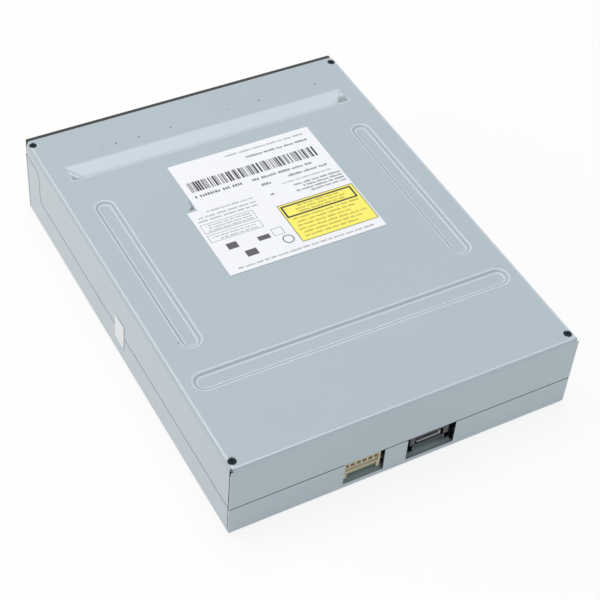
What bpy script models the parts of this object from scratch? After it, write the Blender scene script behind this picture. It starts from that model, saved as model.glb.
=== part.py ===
"""Console DVD drive: a tray-loading optical drive for a game console.

Frame: +Z up, the tray comes out towards -Y, the connectors face +Y. The origin is the middle of the
underside. At rest the tray is shut and the traverse is lowered, as it is while the tray runs.
All sizes are in metres.
"""
import math

import bmesh
import bpy
from mathutils import Matrix, Vector

# Housing
BODY_W = 0.1460
BODY_D = 0.1900
BODY_H = 0.0364
SHEET = 0.0008
BEND_R = 0.0016
BEND_STEPS = 3
SEAM_Z = 0.0146
SEAM_GAP = 0.0004
STEP_SETBACK = 0.0140
STEP_DROP = 0.0057
STEP_FILLET = 0.0030
CORNER_CHAMFER = 0.0016
SLIT = 0.0004
RELIEF_R = 0.0013

# Clearances
GAP = 0.0003
RUN = 0.00015
SCREW_FIT = 0.00015
OVER = 0.0010

# Pressed channels of the top cover
RIB_DEPTH = 0.0010
RIB_SLOPE = 0.0013
SIDE_RIB_INSET = 0.01415
SIDE_RIB_W = 0.0081
SIDE_RIB_START = 0.0460
SIDE_RIB_END = 0.1326
REAR_RIB_W = 0.0088
REAR_RIB_INSET = 0.0055
REAR_RIB_SETBACK = 0.14910
FRONT_RIB_DEPTH = 0.0011
FRONT_RIB_INSET = 0.0084
FRONT_RIB_START = 0.0210
FRONT_RIB_END = 0.0304
FRONT_RIB_RUN = 0.0074
FRONT_RIB_RISE = 0.0012
FRONT_RIB_TAPER = 0.0060

# Pressed channels of the bottom cover
FLOOR_RIB_X = 0.0400
FLOOR_RIB_W = 0.0090
FLOOR_RIB_START = 0.0580
FLOOR_RIB_END = 0.1220
FLOOR_RIB_DEPTH = 0.0009

# Rear notches and connectors
NOTCH_Z = 0.0032
POWER_X = 0.01775
POWER_W = 0.0154
POWER_CAVITY = 0.0018
POWER_PITCH = 0.0025
POWER_WAYS = 6
DATA_X = -0.0111
DATA_W = 0.0168
DATA_MOUTH_W = 0.0124
NOTCH_MARGIN = 0.00085
DATA_NOTCH_MARGIN = 0.0021
SOCKET_LOW = 0.0073
SOCKET_HIGH = 0.0126
SOCKET_DEPTH = 0.0110
SOCKET_SETBACK = 0.0014
SOCKET_MOUTH = 0.0070
LUG_W = 0.0022
LUG_DROP = 0.0031
DATA_LUG_DROP = 0.0027
SOCKET_WALL = 0.0012
DATA_TONGUE_W = 0.0104
DATA_TONGUE_T = 0.0012

# Tray front
BEZEL_PROUD = 0.0023
BEZEL_T = 0.0020
BEZEL_INSET = 0.0010
BEZEL_HEIGHT = 0.0169
BEZEL_DROP = 0.0011
BEZEL_EDGE = 0.0005

# Corner screws
SCREW_INSET = 0.0024
SCREW_FRONT = 0.0028
SCREW_REAR = 0.0043
SCREW_HEAD_R = 0.0017
SCREW_HEAD_SINK = 0.0001
SCREW_SHANK_R = 0.00085
SCREW_LENGTH = 0.0070

# Chassis
CHASSIS_WALL = 0.0022
CHASSIS_LOW = 0.0014
CHASSIS_DROP = 0.0014
SILL_DROP = 0.0142
REAR_PORT_Z = 0.0148
LEDGE_T = 0.0025
LEDGE_REACH = 0.0057
LEDGE_REAR = 0.0080
LIP_REACH = 0.0045
LIP_T = 0.0015
LIP_HALF = 0.0040
LIP_SETBACKS = (0.0200, 0.1250)
POST_SIDE = 0.0044
POST_DROP = 0.0110
DECK_DROP = 0.0188
DECK_T = 0.0020
LIFT_TO_CAM = 0.0010
CROSS_WALL_T = 0.0020
HINGE_BLOCK_D = 0.0080
HINGE_BLOCK_H = 0.0090
HINGE_INSET = 0.0175
BRIDGE_SEAT_INSET = 0.0110
BOARD_LEDGE_INSET = 0.0130
BOARD_LEDGE_T = 0.0019
BOARD_LEDGE_D = 0.0080
BOARD_LEDGE_SETBACKS = (0.0590, 0.0120)
HOOK_REACH = 0.0010
HOOK_W = 0.0100
HOOK_XS = (-0.0400, -0.0150)

# Disc, its spindle and its lens (the spindle is the datum of the loader)
DISC_R = 0.0600
SMALL_DISC_R = 0.0400
SPINDLE_SETBACK = 0.0700
TILT = math.radians(3.0)
PIVOT_SETBACK = 0.0250
PIVOT_DROP = 0.0244

# Disc tray
TRAY_INSET = 0.0060
TRAY_TOP_DROP = 0.0068
TRAY_SETBACK = 0.0220
TRAY_T = 0.0038
DISC_MARGIN = 0.0006
DISC_POCKET = 0.0022
SMALL_POCKET = 0.0006
HUB_HOLE_R = 0.0190
SLOT_X = 0.0240
SLOT_SETBACK = 0.0260
RUNNER_W = 0.0060
RUNNER_H = 0.0030
TRAY_WALL_T = 0.0020
TRAY_WALL_INSET = 0.0130
TRAY_WALL_FOOT = 0.0136
TRAY_WALL_DROP = 0.0024
TRAY_CHANNEL = 0.0012
RUNNER_INSET = 0.0005
RACK_DROP = 0.0002

# Gears: one module for the train, pinion and drive gear on the motor deck
MODULE = 0.0010
PRESSURE = math.radians(20.0)
BACKLASH = 0.00033
ADDENDUM = 0.00085
DEDENDUM = 0.00120
DRIVE_TEETH = 24
PINION_TEETH = 12
DRIVE_INSET = 0.0330
GEAR_SETBACK = 0.0220
GEAR_PIN_R = 0.0015
GEAR_BORE_R = 0.00165
GEAR_FOOT = 0.0144
GEAR_DROP = 0.0112
RACK_FRONT = 0.0100
RACK_W = 0.0045

# Motor, belt and pulleys
MOTOR_INSET = 0.0370
MOTOR_SETBACK = 0.0200
MOTOR_R = 0.0120
MOTOR_LOW = 0.0028
MOTOR_DROP = 0.0211
MOTOR_BOSS_R = 0.0030
MOTOR_SHAFT_R = 0.0010
BELT_T = 0.0012
BELT_DROP = 0.0167
BELT_SQUARE = 0.0012
WHEEL_FLANGE_T = 0.0009
DRIVE_HUB_WALL = 0.00235
PULLEY_FLANGE_R = 0.0048
PULLEY_GROOVE_R = 0.0026
WHEEL_FLANGE_R = 0.0132
WHEEL_GROOVE_R = 0.0114

# Cam slider
CAM_TRAVEL = 0.0200
CAM_DWELL = 0.0010
CAM_T = 0.0037
CAM_BEHIND_WALL = 0.0003
CAM_X_LOW = -0.0480
CAM_X_HIGH = 0.0270
CAM_LOW = 0.0026
CAM_DROP = 0.0211
PIN_X = 0.0220
PIN_R = 0.0015
SLOT_R = 0.0019
PIN_BEHIND = 0.0005
ARM_LEFT = 0.0140
ARM_RIGHT = 0.0300
ARM_T = 0.0024
CAM_TEETH_GAP = 0.0005

# Clamp
RIM_TO_CLAMPER = 0.0004
BRIDGE_RISE = 0.0020
BRIDGE_T = 0.0012
BRIDGE_HALF = 0.0120
BRIDGE_HOLE_R = 0.0116
CLAMPER_R = 0.0145
CLAMPER_T = 0.0012
CLAMPER_NECK_R = 0.0110
CLAMPER_RECESS_R = 0.0082
CAP_T = 0.0010
YOKE_T = 0.0008
YOKE_R = 0.0070
BRIDGE_MARGIN = 0.0015
CLAMPER_NECK_RISE = 0.0009
CLAMPER_RECESS_H = 0.0024

# Traverse (level sizes; the whole group is then tilted about the pivot)
SEAT_BELOW_CLAMPER = 0.0007
LIFT_X = 0.0500
LIFT_RAIL = 0.0080
LIFT_T = 0.0034
LIFT_FRONT = 0.0190
LIFT_BAR = 0.0060
BOSS_X = 0.0455
BOSS_R = 0.0040
BOSS_RISE = 0.0013
TRUNNION_R = 0.0015
TRUNNION_INSET = 0.0125
PLATE_X = 0.0415
PLATE_EAR_X = 0.0495
PLATE_T = 0.0010
PLATE_DROP = 0.0184
PLATE_FRONT = 0.0175
PLATE_REAR = 0.0800
WINDOW_LEFT = 0.0310
WINDOW_RIGHT = 0.0335
WINDOW_FRONT = 0.0136
WINDOW_REAR = 0.0745
DAMPER_FRONT = -0.0100
DAMPER_REAR = 0.0700
DAMPER_R = 0.0045
DAMPER_WAIST_R = 0.0028
DAMPER_BORE_R = 0.0013
DAMPER_FLANGE = 0.0017
SCREW_R = 0.0010
SCREW_HEAD_T = 0.0014
SCREW_HEAD_WIDE = 0.0030
ROD_LEFT = -0.0260
ROD_RIGHT = 0.0280
ROD_R = 0.0015
ROD_DROP = 0.0156
TAB_T = 0.0012
TAB_W = 0.0060
TAB_DROP = 0.0130
TAB_FRONT = 0.0120
TAB_REAR = 0.0770
EAR_HALF = 0.0050
LEAD_X = -0.0350
LEAD_DROP = 0.0140
LEAD_R = 0.0013
JOURNAL_Y = 0.0150
SLED_MOTOR_R = 0.0030
SLED_MOTOR_START = 0.0605
SLED_MOTOR_END = 0.0735
PICKUP_Y = 0.0230
PICKUP_FRONT = 0.0090
PICKUP_REAR = 0.0150
PICKUP_FOOT = 0.0214
PICKUP_DROP = 0.0117
PICKUP_CORE = (-0.0200, 0.0220)
NUT_FRONT = 0.0040
NUT_REAR = 0.0010
ARM_FOOT = 0.0190
ARM_DROP = 0.0132
ARM_MARGIN = 0.0020
LENS_POCKET = (0.0090, 0.0075)
LENS_POCKET_DROP = 0.0139
HOLDER_HALF = (0.0050, 0.0060)
HOLDER_FOOT = 0.0131
HOLDER_DROP = 0.0095
LENS_R = 0.0030
LENS_RISE = 0.0006

# Spindle
BASE_DROP = 0.0171
BASE_T = 0.0008
BASE_X = 0.0150
BASE_FRONT = 0.0150
BASE_REAR = 0.0125
STATOR_R = 0.0106
STATOR_DROP = 0.0118
ROTOR_R = 0.0125
ROTOR_WALL = 0.0008
ROTOR_FOOT = 0.0158
ROTOR_DROP = 0.0104
SPINDLE_R = 0.0010
TURNTABLE_R = 0.0150
TURNTABLE_T = 0.0029
HUB_R = 0.00735
HUB_RISE = 0.0017
MAT_IN = 0.0125
MAT_OUT = 0.0145
MAT_T = 0.0004

# Circuit board
BOARD_INSET = 0.0090
BOARD_LOW = 0.0054
BOARD_T = 0.0016
BOARD_D = 0.0590
BOARD_REAR_SETBACK = 0.0032
CHIP_RISE = 0.0014
CHIPS = {"control_chip": (-0.0050, 0.0210, 0.0070, 0.0070), "driver_chip": (0.0300, 0.0160, 0.0040, 0.0060)}

# Label and seal
LABEL_T = 0.00015
LABEL_LEFT = -0.0386
LABEL_STEP_RIGHT = 0.0265
LABEL_RIGHT = 0.0310
LABEL_FRONT = 0.0386
LABEL_STEP = 0.0670
LABEL_REAR = 0.1055
FILM_GAP = 0.00005
SEAL_T = 0.00008
SEAL_START = 0.0905
SEAL_END = 0.1000
SEAL_LOW = 0.0080
SEAL_HIGH = 0.0210

# Places that follow from the driving sizes
HALF_W = BODY_W / 2
SCREW_X = HALF_W - SCREW_INSET
TRAY_X = HALF_W - TRAY_INSET
TRAY_WALL_X = HALF_W - TRAY_WALL_INSET
BRIDGE_SEAT_X = HALF_W - BRIDGE_SEAT_INSET
BOARD_LEDGE_X = HALF_W - BOARD_LEDGE_INSET
BOARD_X = HALF_W - BOARD_INSET
HINGE_X = HALF_W - HINGE_INSET
TRUNNION_END = HALF_W - TRUNNION_INSET
SIDE_RIB_X = HALF_W - SIDE_RIB_INSET
DRIVE_X = HALF_W - DRIVE_INSET
FRONT_Y = BEZEL_PROUD - (BODY_D + BEZEL_PROUD) / 2
REAR_Y = FRONT_Y + BODY_D
INNER_X = HALF_W - SHEET - GAP
REAR_RIB_SPAN = BODY_W - 2 * REAR_RIB_INSET
FRONT_RIB_SPAN = BODY_W - 2 * FRONT_RIB_INSET
MOTOR_X = MOTOR_INSET - HALF_W
SPINDLE_Y = FRONT_Y + SPINDLE_SETBACK
PIVOT_Z = BODY_H - PIVOT_DROP
PIVOT = Vector((0.0, REAR_Y - PIVOT_SETBACK, PIVOT_Z))
TRAY_TOP = BODY_H - TRAY_TOP_DROP
STEP_TOP = BODY_H - STEP_DROP
BEZEL_HIGH = BODY_H - BEZEL_DROP
BEZEL_LOW = BEZEL_HIGH - BEZEL_HEIGHT
CHASSIS_HIGH = BODY_H - CHASSIS_DROP
SILL_Z = BODY_H - SILL_DROP
DECK_Z = BODY_H - DECK_DROP
TRAY_WALL_LOW = BODY_H - TRAY_WALL_FOOT
TRAY_WALL_HIGH = BODY_H - TRAY_WALL_DROP
GEAR_LOW = BODY_H - GEAR_FOOT
GEAR_HIGH = BODY_H - GEAR_DROP
BELT_Z = BODY_H - BELT_DROP
MOTOR_HIGH = BODY_H - MOTOR_DROP
CAM_HIGH = BODY_H - CAM_DROP
PLATE_Z = BODY_H - PLATE_DROP
ROD_Z = BODY_H - ROD_DROP
TAB_TOP = BODY_H - TAB_DROP
LEAD_Z = BODY_H - LEAD_DROP
PICKUP_LOW = BODY_H - PICKUP_FOOT
PICKUP_HIGH = BODY_H - PICKUP_DROP
ARM_LOW = BODY_H - ARM_FOOT
ARM_HIGH = BODY_H - ARM_DROP
LENS_POCKET_FLOOR = BODY_H - LENS_POCKET_DROP
HOLDER_LOW = BODY_H - HOLDER_FOOT
HOLDER_HIGH = BODY_H - HOLDER_DROP
BASE_LOW = BODY_H - BASE_DROP
STATOR_HIGH = BODY_H - STATOR_DROP
ROTOR_LOW = BODY_H - ROTOR_FOOT
ROTOR_HIGH = BODY_H - ROTOR_DROP
TRAY_LOW = TRAY_TOP - TRAY_T
CLAMPER_Z = TRAY_TOP + RIM_TO_CLAMPER
SEAT_Z = CLAMPER_Z - SEAT_BELOW_CLAMPER
BRIDGE_LOW = TRAY_TOP + BRIDGE_RISE
RUNNER_LOW = TRAY_LOW - RUNNER_H
LEDGE_TOP = RUNNER_LOW - GAP
GEAR_Y = FRONT_Y + GEAR_SETBACK
PINION_X = DRIVE_X - MODULE * (DRIVE_TEETH + PINION_TEETH) / 2
RACK_PITCH_X = DRIVE_X + MODULE * DRIVE_TEETH / 2
MOTOR_Y = FRONT_Y + MOTOR_SETBACK
BOARD_TOP = BOARD_LOW + BOARD_T
CAM_Y = SPINDLE_Y - LIFT_FRONT - LIFT_TO_CAM - CAM_T
DECK_REAR = CAM_Y - CAM_BEHIND_WALL - CROSS_WALL_T
FILM_Z = BODY_H + FILM_GAP


def collection(name):
    """A new collection, linked to the scene."""
    made = bpy.data.collections.new(name)
    bpy.context.scene.collection.children.link(made)
    return made


for leftover in list(bpy.data.objects):
    bpy.data.objects.remove(leftover, do_unlink=True)
PARTS = collection("console_dvd_drive")
CUTTERS = collection("cutters")


def mesh_object(name, bm, group=None):
    """An object in the parts collection, or in the one given, from a bmesh."""
    mesh = bpy.data.meshes.new(name)
    bm.to_mesh(mesh)
    bm.free()
    made = bpy.data.objects.new(name, mesh)
    (group or PARTS).objects.link(made)
    return made


def add_box(bm, low, high):
    """A box between two corners; returns its vertices."""
    size = [b - a for a, b in zip(low, high)]
    middle = [(a + b) / 2 for a, b in zip(low, high)]
    matrix = Matrix.Translation(middle) @ Matrix.Diagonal((*size, 1.0))
    return bmesh.ops.create_cube(bm, size=1.0, matrix=matrix)["verts"]


def add_rod(bm, radius, start, end, top_radius=None, segments=24):
    """A cylinder or a cone between two points; returns its vertices."""
    start, end = Vector(start), Vector(end)
    turn = (end - start).to_track_quat("Z", "Y").to_matrix().to_4x4()
    matrix = Matrix.Translation((start + end) / 2) @ turn
    top = radius if top_radius is None else top_radius
    made = bmesh.ops.create_cone(
        bm, cap_ends=True, segments=segments, radius1=radius, radius2=top,
        depth=(end - start).length, matrix=matrix)
    return made["verts"]


def boxes(name, pairs, group=None):
    """One object made of separate boxes."""
    bm = bmesh.new()
    for low, high in pairs:
        add_box(bm, low, high)
    return mesh_object(name, bm, group)


def rods(name, items, group=None):
    """One object made of separate rods, each (radius, start, end) and perhaps a top radius."""
    bm = bmesh.new()
    for item in items:
        add_rod(bm, *item)
    return mesh_object(name, bm, group)


def both_sides(low, high):
    """A box and its mirror image in X."""
    return [(low, high), ((-high[0], low[1], low[2]), (-low[0], high[1], high[2]))]


def extruded(name, loops, low, high, upright=False, group=None):
    """A flat outline with holes, filled and given a thickness from low to high.

    The outline lies in XY and is raised along Z, or with upright it lies in XZ and runs along Y.
    """
    curve = bpy.data.curves.new(name, "CURVE")
    curve.dimensions = "2D"
    curve.fill_mode = "BOTH"
    curve.extrude = (high - low) / 2
    for loop in loops:
        spline = curve.splines.new("POLY")
        spline.points.add(len(loop) - 1)
        spline.use_cyclic_u = True
        for point, (x, y) in zip(spline.points, loop):
            point.co = (x, y, 0.0, 1.0)
    sheet = bpy.data.objects.new(name + "_curve", curve)
    PARTS.objects.link(sheet)
    middle = (low + high) / 2
    if upright:
        place = Matrix.Translation((0.0, middle, 0.0)) @ Matrix.Rotation(math.pi / 2, 4, "X")
    else:
        place = Matrix.Translation((0.0, 0.0, middle))
    sheet.matrix_world = place
    bpy.context.view_layer.update()
    view = bpy.context.evaluated_depsgraph_get()
    mesh = bpy.data.meshes.new_from_object(sheet.evaluated_get(view))
    bm = bmesh.new()
    bm.from_mesh(mesh)
    bmesh.ops.remove_doubles(bm, verts=bm.verts, dist=1e-6)
    bmesh.ops.recalc_face_normals(bm, faces=bm.faces)
    bm.to_mesh(mesh)
    bm.free()
    made = bpy.data.objects.new(name, mesh)
    made.matrix_world = sheet.matrix_world
    (group or PARTS).objects.link(made)
    bpy.data.objects.remove(sheet, do_unlink=True)
    return made


def turned(name, profile, place, segments=32):
    """A solid of revolution about +Z: the profile runs (radius, z), down its outer side."""
    bm = bmesh.new()
    points = [bm.verts.new((radius, 0.0, z)) for radius, z in profile]
    for first, second in zip(points, points[1:] + points[:1]):
        if first.co.x > 0.0 or second.co.x > 0.0:
            bm.edges.new((first, second))
    made = mesh_object(name, bm)
    screw = made.modifiers.new("turn", "SCREW")
    screw.steps = segments
    screw.render_steps = segments
    screw.use_merge_vertices = True
    screw.merge_threshold = 1e-5
    made.location = place
    return made


def pivot_empty(name, place, parent=None, tilt=0.0):
    """An empty on a joint's axis, at its level place, which carries the pieces that move there."""
    empty = bpy.data.objects.new(name, None)
    empty.location = place
    empty.rotation_euler = (tilt, 0.0, 0.0)
    PARTS.objects.link(empty)
    if parent is not None:
        ride(parent, empty)
    return empty


def ride(carrier, *pieces):
    """Hang pieces, built level, on the empty that carries them."""
    for piece in pieces:
        piece.parent = carrier
        piece.matrix_parent_inverse = Matrix.Translation(-carrier.location)


def boolean(target, tool, operation, solver):
    """Cut a tool from a piece or join it on; the tool stays as a hidden guide beside it."""
    for group in list(tool.users_collection):
        group.objects.unlink(tool)
    CUTTERS.objects.link(tool)
    tool.hide_render = True
    tool.display_type = "WIRE"
    tool.parent = target
    tool.matrix_parent_inverse = target.matrix_basis.inverted()
    modifier = target.modifiers.new(tool.name, "BOOLEAN")
    modifier.operation = operation
    modifier.solver = solver
    modifier.object = tool


def cut(target, tool, solver="EXACT"):
    boolean(target, tool, "DIFFERENCE", solver)


def join(target, tool, solver="EXACT"):
    boolean(target, tool, "UNION", solver)


def paint(piece, colour, roughness, metallic=0.0):
    """Give a piece its own material, and shade its round faces smooth."""
    made = bpy.data.materials.new(piece.name)
    made.use_nodes = True
    shader = made.node_tree.nodes["Principled BSDF"]
    shader.inputs["Base Color"].default_value = (*colour, 1.0)
    shader.inputs["Roughness"].default_value = roughness
    shader.inputs["Metallic"].default_value = metallic
    piece.data.materials.clear()
    piece.data.materials.append(made)
    piece.data.shade_smooth()
    piece.data.set_sharp_from_angle(angle=math.radians(35.0))
    return piece


STEEL = (0.46, 0.53, 0.58)
BLACK = (0.02, 0.02, 0.022)
RUBBER = (0.03, 0.03, 0.03)
BRIGHT = (0.60, 0.60, 0.61)


def arc(centre, radius, first, last, steps=4):
    """Points on an arc about a centre, from one angle to another in degrees."""
    angles = [math.radians(first + (last - first) * i / steps) for i in range(steps + 1)]
    return [(centre[0] + radius * math.cos(a), centre[1] + radius * math.sin(a)) for a in angles]


def circle(centre, radius, count=24):
    """A closed round loop."""
    return arc(centre, radius, 0.0, 360.0 - 360.0 / count, count - 1)


def rectangle(low, high):
    return [(low[0], low[1]), (high[0], low[1]), (high[0], high[1]), (low[0], high[1])]


def shell(name, low, high, open_sides, rounded):
    """A folded sheet: a box open on some sides, with some edges bent round, solidified inwards."""
    bm = bmesh.new()
    add_box(bm, low, high)
    bm.normal_update()
    gone = [face for face in bm.faces if any(face.normal.dot(Vector(side)) > 0.9 for side in open_sides)]
    bmesh.ops.delete(bm, geom=gone, context="FACES_ONLY")
    flat = [edge for edge in bm.edges if not edge.is_boundary and rounded(edge)]
    bmesh.ops.bevel(bm, geom=flat, offset=BEND_R, segments=BEND_STEPS, profile=0.5, affect="EDGES")
    made = mesh_object(name, bm)
    solid = made.modifiers.new("sheet", "SOLIDIFY")
    solid.thickness = SHEET
    solid.offset = -1.0
    solid.use_even_offset = True
    return made


def level_edge(edge):
    return abs(edge.verts[0].co.z - edge.verts[1].co.z) < 1e-6


def side_loop(offset, low, high):
    """The seam's path seen from the side, offset upwards or downwards, closed at low or high.

    The lower cover's side wall stands high behind the tray front, then steps down to the seam.
    """
    start = FRONT_Y - OVER
    step = FRONT_Y + STEP_SETBACK
    top = STEP_TOP + offset
    seam = SEAM_Z + offset
    upper = arc((step - STEP_FILLET + offset, top - STEP_FILLET), STEP_FILLET, 90.0, 0.0)
    lower = arc((step + STEP_FILLET + offset, seam + STEP_FILLET), STEP_FILLET, 180.0, 270.0)
    end = REAR_Y + OVER
    edge = high if low is None else low
    return [(start, top)] + upper + lower + [(end, seam), (end, edge), (start, edge)]


def side_prism(name, loop, left, right):
    """An outline in the YZ plane, run along X."""
    made = extruded(name, [loop], left, right)
    made.matrix_world = Matrix.Translation(((left + right) / 2, 0.0, 0.0)) @ Matrix((
        (0.0, 0.0, 1.0, 0.0), (1.0, 0.0, 0.0, 0.0), (0.0, 1.0, 0.0, 0.0), (0.0, 0.0, 0.0, 1.0)))
    return made


def stadium(name, half_width, half_length, place, low, high, slope, along_x, downwards=False):
    """A pressed channel's solid: a cone stretched into a long round-ended pan, wider at its mouth."""
    bm = bmesh.new()
    floor, mouth = half_width, half_width + slope * (high - low)
    if downwards:
        floor, mouth = mouth, floor
    verts = add_rod(bm, floor, (0.0, 0.0, low), (0.0, 0.0, high), mouth, 16)
    turn = Matrix.Rotation(math.pi / 16, 4, "Z")
    bmesh.ops.transform(bm, matrix=turn, verts=verts)
    for vert in verts:
        vert.co.y += math.copysign(half_length, vert.co.y)
    made = mesh_object(name, bm)
    made.rotation_euler = (0.0, 0.0, math.pi / 2 if along_x else 0.0)
    made.location = (place[0], place[1], 0.0)
    return made


def channel(target, name, width, length, place, depth, along_x):
    """Press a round-ended channel into the top plate: the skin under it first, then the hollow."""
    slope = RIB_SLOPE / depth
    floor = width / 2 - RIB_SLOPE
    half_length = length / 2 - width / 2
    low = BODY_H - depth
    grow = SHEET * (math.hypot(1.0, slope) - slope)
    skin = stadium(name + "_skin", floor + grow, half_length, place, low - SHEET,
                   BODY_H - SHEET / 2, slope, along_x)
    hollow = stadium(name + "_hollow", floor, half_length, place, low, BODY_H + SHEET, slope, along_x)
    join(target, skin)
    cut(target, hollow)


def wedge(name, grow, low, high):
    """The front channel's solid: a pan with a wide front slope, a steep rear rise and tapered ends."""
    bm = bmesh.new()
    depth = FRONT_RIB_DEPTH
    reach = (high - low) / depth
    span = FRONT_RIB_SPAN / 2 - FRONT_RIB_TAPER + grow
    first = FRONT_Y + FRONT_RIB_START + FRONT_RIB_RUN - grow
    last = FRONT_Y + FRONT_RIB_END - FRONT_RIB_RISE + grow
    for vert in add_box(bm, (-span, first, low), (span, last, high)):
        if vert.co.z > (low + high) / 2:
            front = vert.co.y < (first + last) / 2
            vert.co.x += math.copysign(FRONT_RIB_TAPER * reach, vert.co.x)
            vert.co.y += -FRONT_RIB_RUN * reach if front else FRONT_RIB_RISE * reach
    return mesh_object(name, bm)


def screw_places():
    return [(x, y) for y in (FRONT_Y + SCREW_FRONT, REAR_Y - SCREW_REAR) for x in (-SCREW_X, SCREW_X)]


def corner_slits(name, fronts, low, high):
    """Slots that free each flange from its neighbour at the upright corners."""
    pairs = []
    for inner in fronts:
        pairs += both_sides((HALF_W - SHEET * 1.5, inner, low), (HALF_W + OVER, inner + SLIT, high))
    return boxes(name, pairs)


def build_top_cover():
    low = (-HALF_W, FRONT_Y, SEAM_Z - SEAM_GAP)
    high = (HALF_W, REAR_Y, BODY_H)
    cover = shell("top_cover", low, high, [(0, 0, -1), (0, -1, 0)], level_edge)
    length = SIDE_RIB_END - SIDE_RIB_START
    middle = FRONT_Y + (SIDE_RIB_START + SIDE_RIB_END) / 2
    for side, x in (("left", -SIDE_RIB_X), ("right", SIDE_RIB_X)):
        channel(cover, side + "_rib", SIDE_RIB_W, length, (x, middle), RIB_DEPTH, False)
    channel(cover, "rear_rib", REAR_RIB_W, REAR_RIB_SPAN, (0.0, FRONT_Y + REAR_RIB_SETBACK),
            RIB_DEPTH, True)
    floor = BODY_H - FRONT_RIB_DEPTH
    join(cover, wedge("front_rib_skin", SHEET / 2, floor - SHEET, BODY_H - SHEET / 2))
    cut(cover, wedge("front_rib_hollow", 0.0, floor, BODY_H + SHEET))
    step = side_prism("top_step", side_loop(SEAM_GAP / 2, 0.0, None), -HALF_W - OVER, HALF_W + OVER)
    cut(cover, step)
    slit_y = REAR_Y - SHEET - SLIT
    cut(cover, corner_slits("top_slits", [slit_y], 0.0, BODY_H - BEND_R))
    corner_y = REAR_Y - SHEET - SLIT / 2
    relief = [(RELIEF_R, (x, corner_y, BODY_H - 2 * BEND_R), (x, corner_y, BODY_H + OVER))
              for x in (-HALF_W + SHEET, HALF_W - SHEET)]
    cut(cover, rods("top_reliefs", relief))
    chamfer = bmesh.new()
    for side in (-1, 1):
        corner = (side * HALF_W, FRONT_Y)
        add_rod(chamfer, CORNER_CHAMFER, (*corner, STEP_TOP - OVER), (*corner, BODY_H + OVER), None, 4)
    cut(cover, mesh_object("front_chamfers", chamfer))
    holes = []
    sink = SCREW_HEAD_R - SCREW_SHANK_R
    for x, y in screw_places():
        top = BODY_H - SCREW_HEAD_SINK
        floor_r = SCREW_SHANK_R + SCREW_FIT
        low_z = top - sink
        reach = SCREW_HEAD_SINK + SHEET
        holes.append((floor_r, (x, y, low_z), (x, y, top + reach), SCREW_HEAD_R + SCREW_FIT + reach))
    cut(cover, rods("screw_sinks", holes), "MANIFOLD")
    return paint(cover, STEEL, 0.35, 1.0)


def notch_boxes():
    """The two windows for the sockets, open at the top edge of the lower rear flange."""
    made = []
    for x, width, margin in ((POWER_X, POWER_W, NOTCH_MARGIN), (DATA_X, DATA_W, DATA_NOTCH_MARGIN)):
        half = width / 2 + margin
        made.append(((x - half, REAR_Y - 2 * SHEET, NOTCH_Z), (x + half, REAR_Y + OVER, SEAM_Z + OVER)))
    return made


def build_bottom_cover():
    top = STEP_TOP + SEAM_GAP
    low, high = (-HALF_W, FRONT_Y, 0.0), (HALF_W, REAR_Y, top)
    cover = shell("bottom_cover", low, high, [(0, 0, 1)], level_edge)
    step = side_prism("bottom_step", side_loop(-SEAM_GAP / 2, None, BODY_H), -HALF_W - OVER,
                      HALF_W + OVER)
    cut(cover, step)
    mouth = HALF_W - SHEET
    cut(cover, boxes("tray_mouth", [((-mouth, FRONT_Y - OVER, BEZEL_LOW - GAP),
                                     (mouth, FRONT_Y + SHEET + OVER / 2, BODY_H))]))
    cut(cover, boxes("socket_notches", notch_boxes()))
    slit_ys = [FRONT_Y + SHEET, REAR_Y - SHEET - SLIT]
    cut(cover, corner_slits("bottom_slits", slit_ys, BEND_R, BODY_H))
    length = FLOOR_RIB_END - FLOOR_RIB_START
    middle = FRONT_Y + (FLOOR_RIB_START + FLOOR_RIB_END) / 2
    slope = RIB_SLOPE / FLOOR_RIB_DEPTH
    floor = FLOOR_RIB_W / 2 - RIB_SLOPE
    grow = SHEET * (math.hypot(1.0, slope) - slope)
    half = (length - FLOOR_RIB_W) / 2
    for side, x in (("left", -FLOOR_RIB_X), ("right", FLOOR_RIB_X)):
        skin = stadium(side + "_floor_skin", floor + grow, half, (x, middle), SHEET / 2,
                       FLOOR_RIB_DEPTH + SHEET, slope, False, True)
        hollow = stadium(side + "_floor_hollow", floor, half, (x, middle), -SHEET,
                         FLOOR_RIB_DEPTH, slope, False, True)
        join(cover, skin)
        cut(cover, hollow)
    return paint(cover, STEEL, 0.38, 1.0)


def post_blocks():
    """Blocks in the four corners that take the cover screws."""
    made = []
    for x, y in screw_places():
        inner = INNER_X - POST_SIDE
        low_x, high_x = (inner, INNER_X) if x > 0 else (-INNER_X, -inner)
        made.append(((low_x, y - POST_SIDE / 2, CHASSIS_HIGH - POST_DROP),
                     (high_x, y + POST_SIDE / 2, CHASSIS_HIGH)))
    return made


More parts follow.
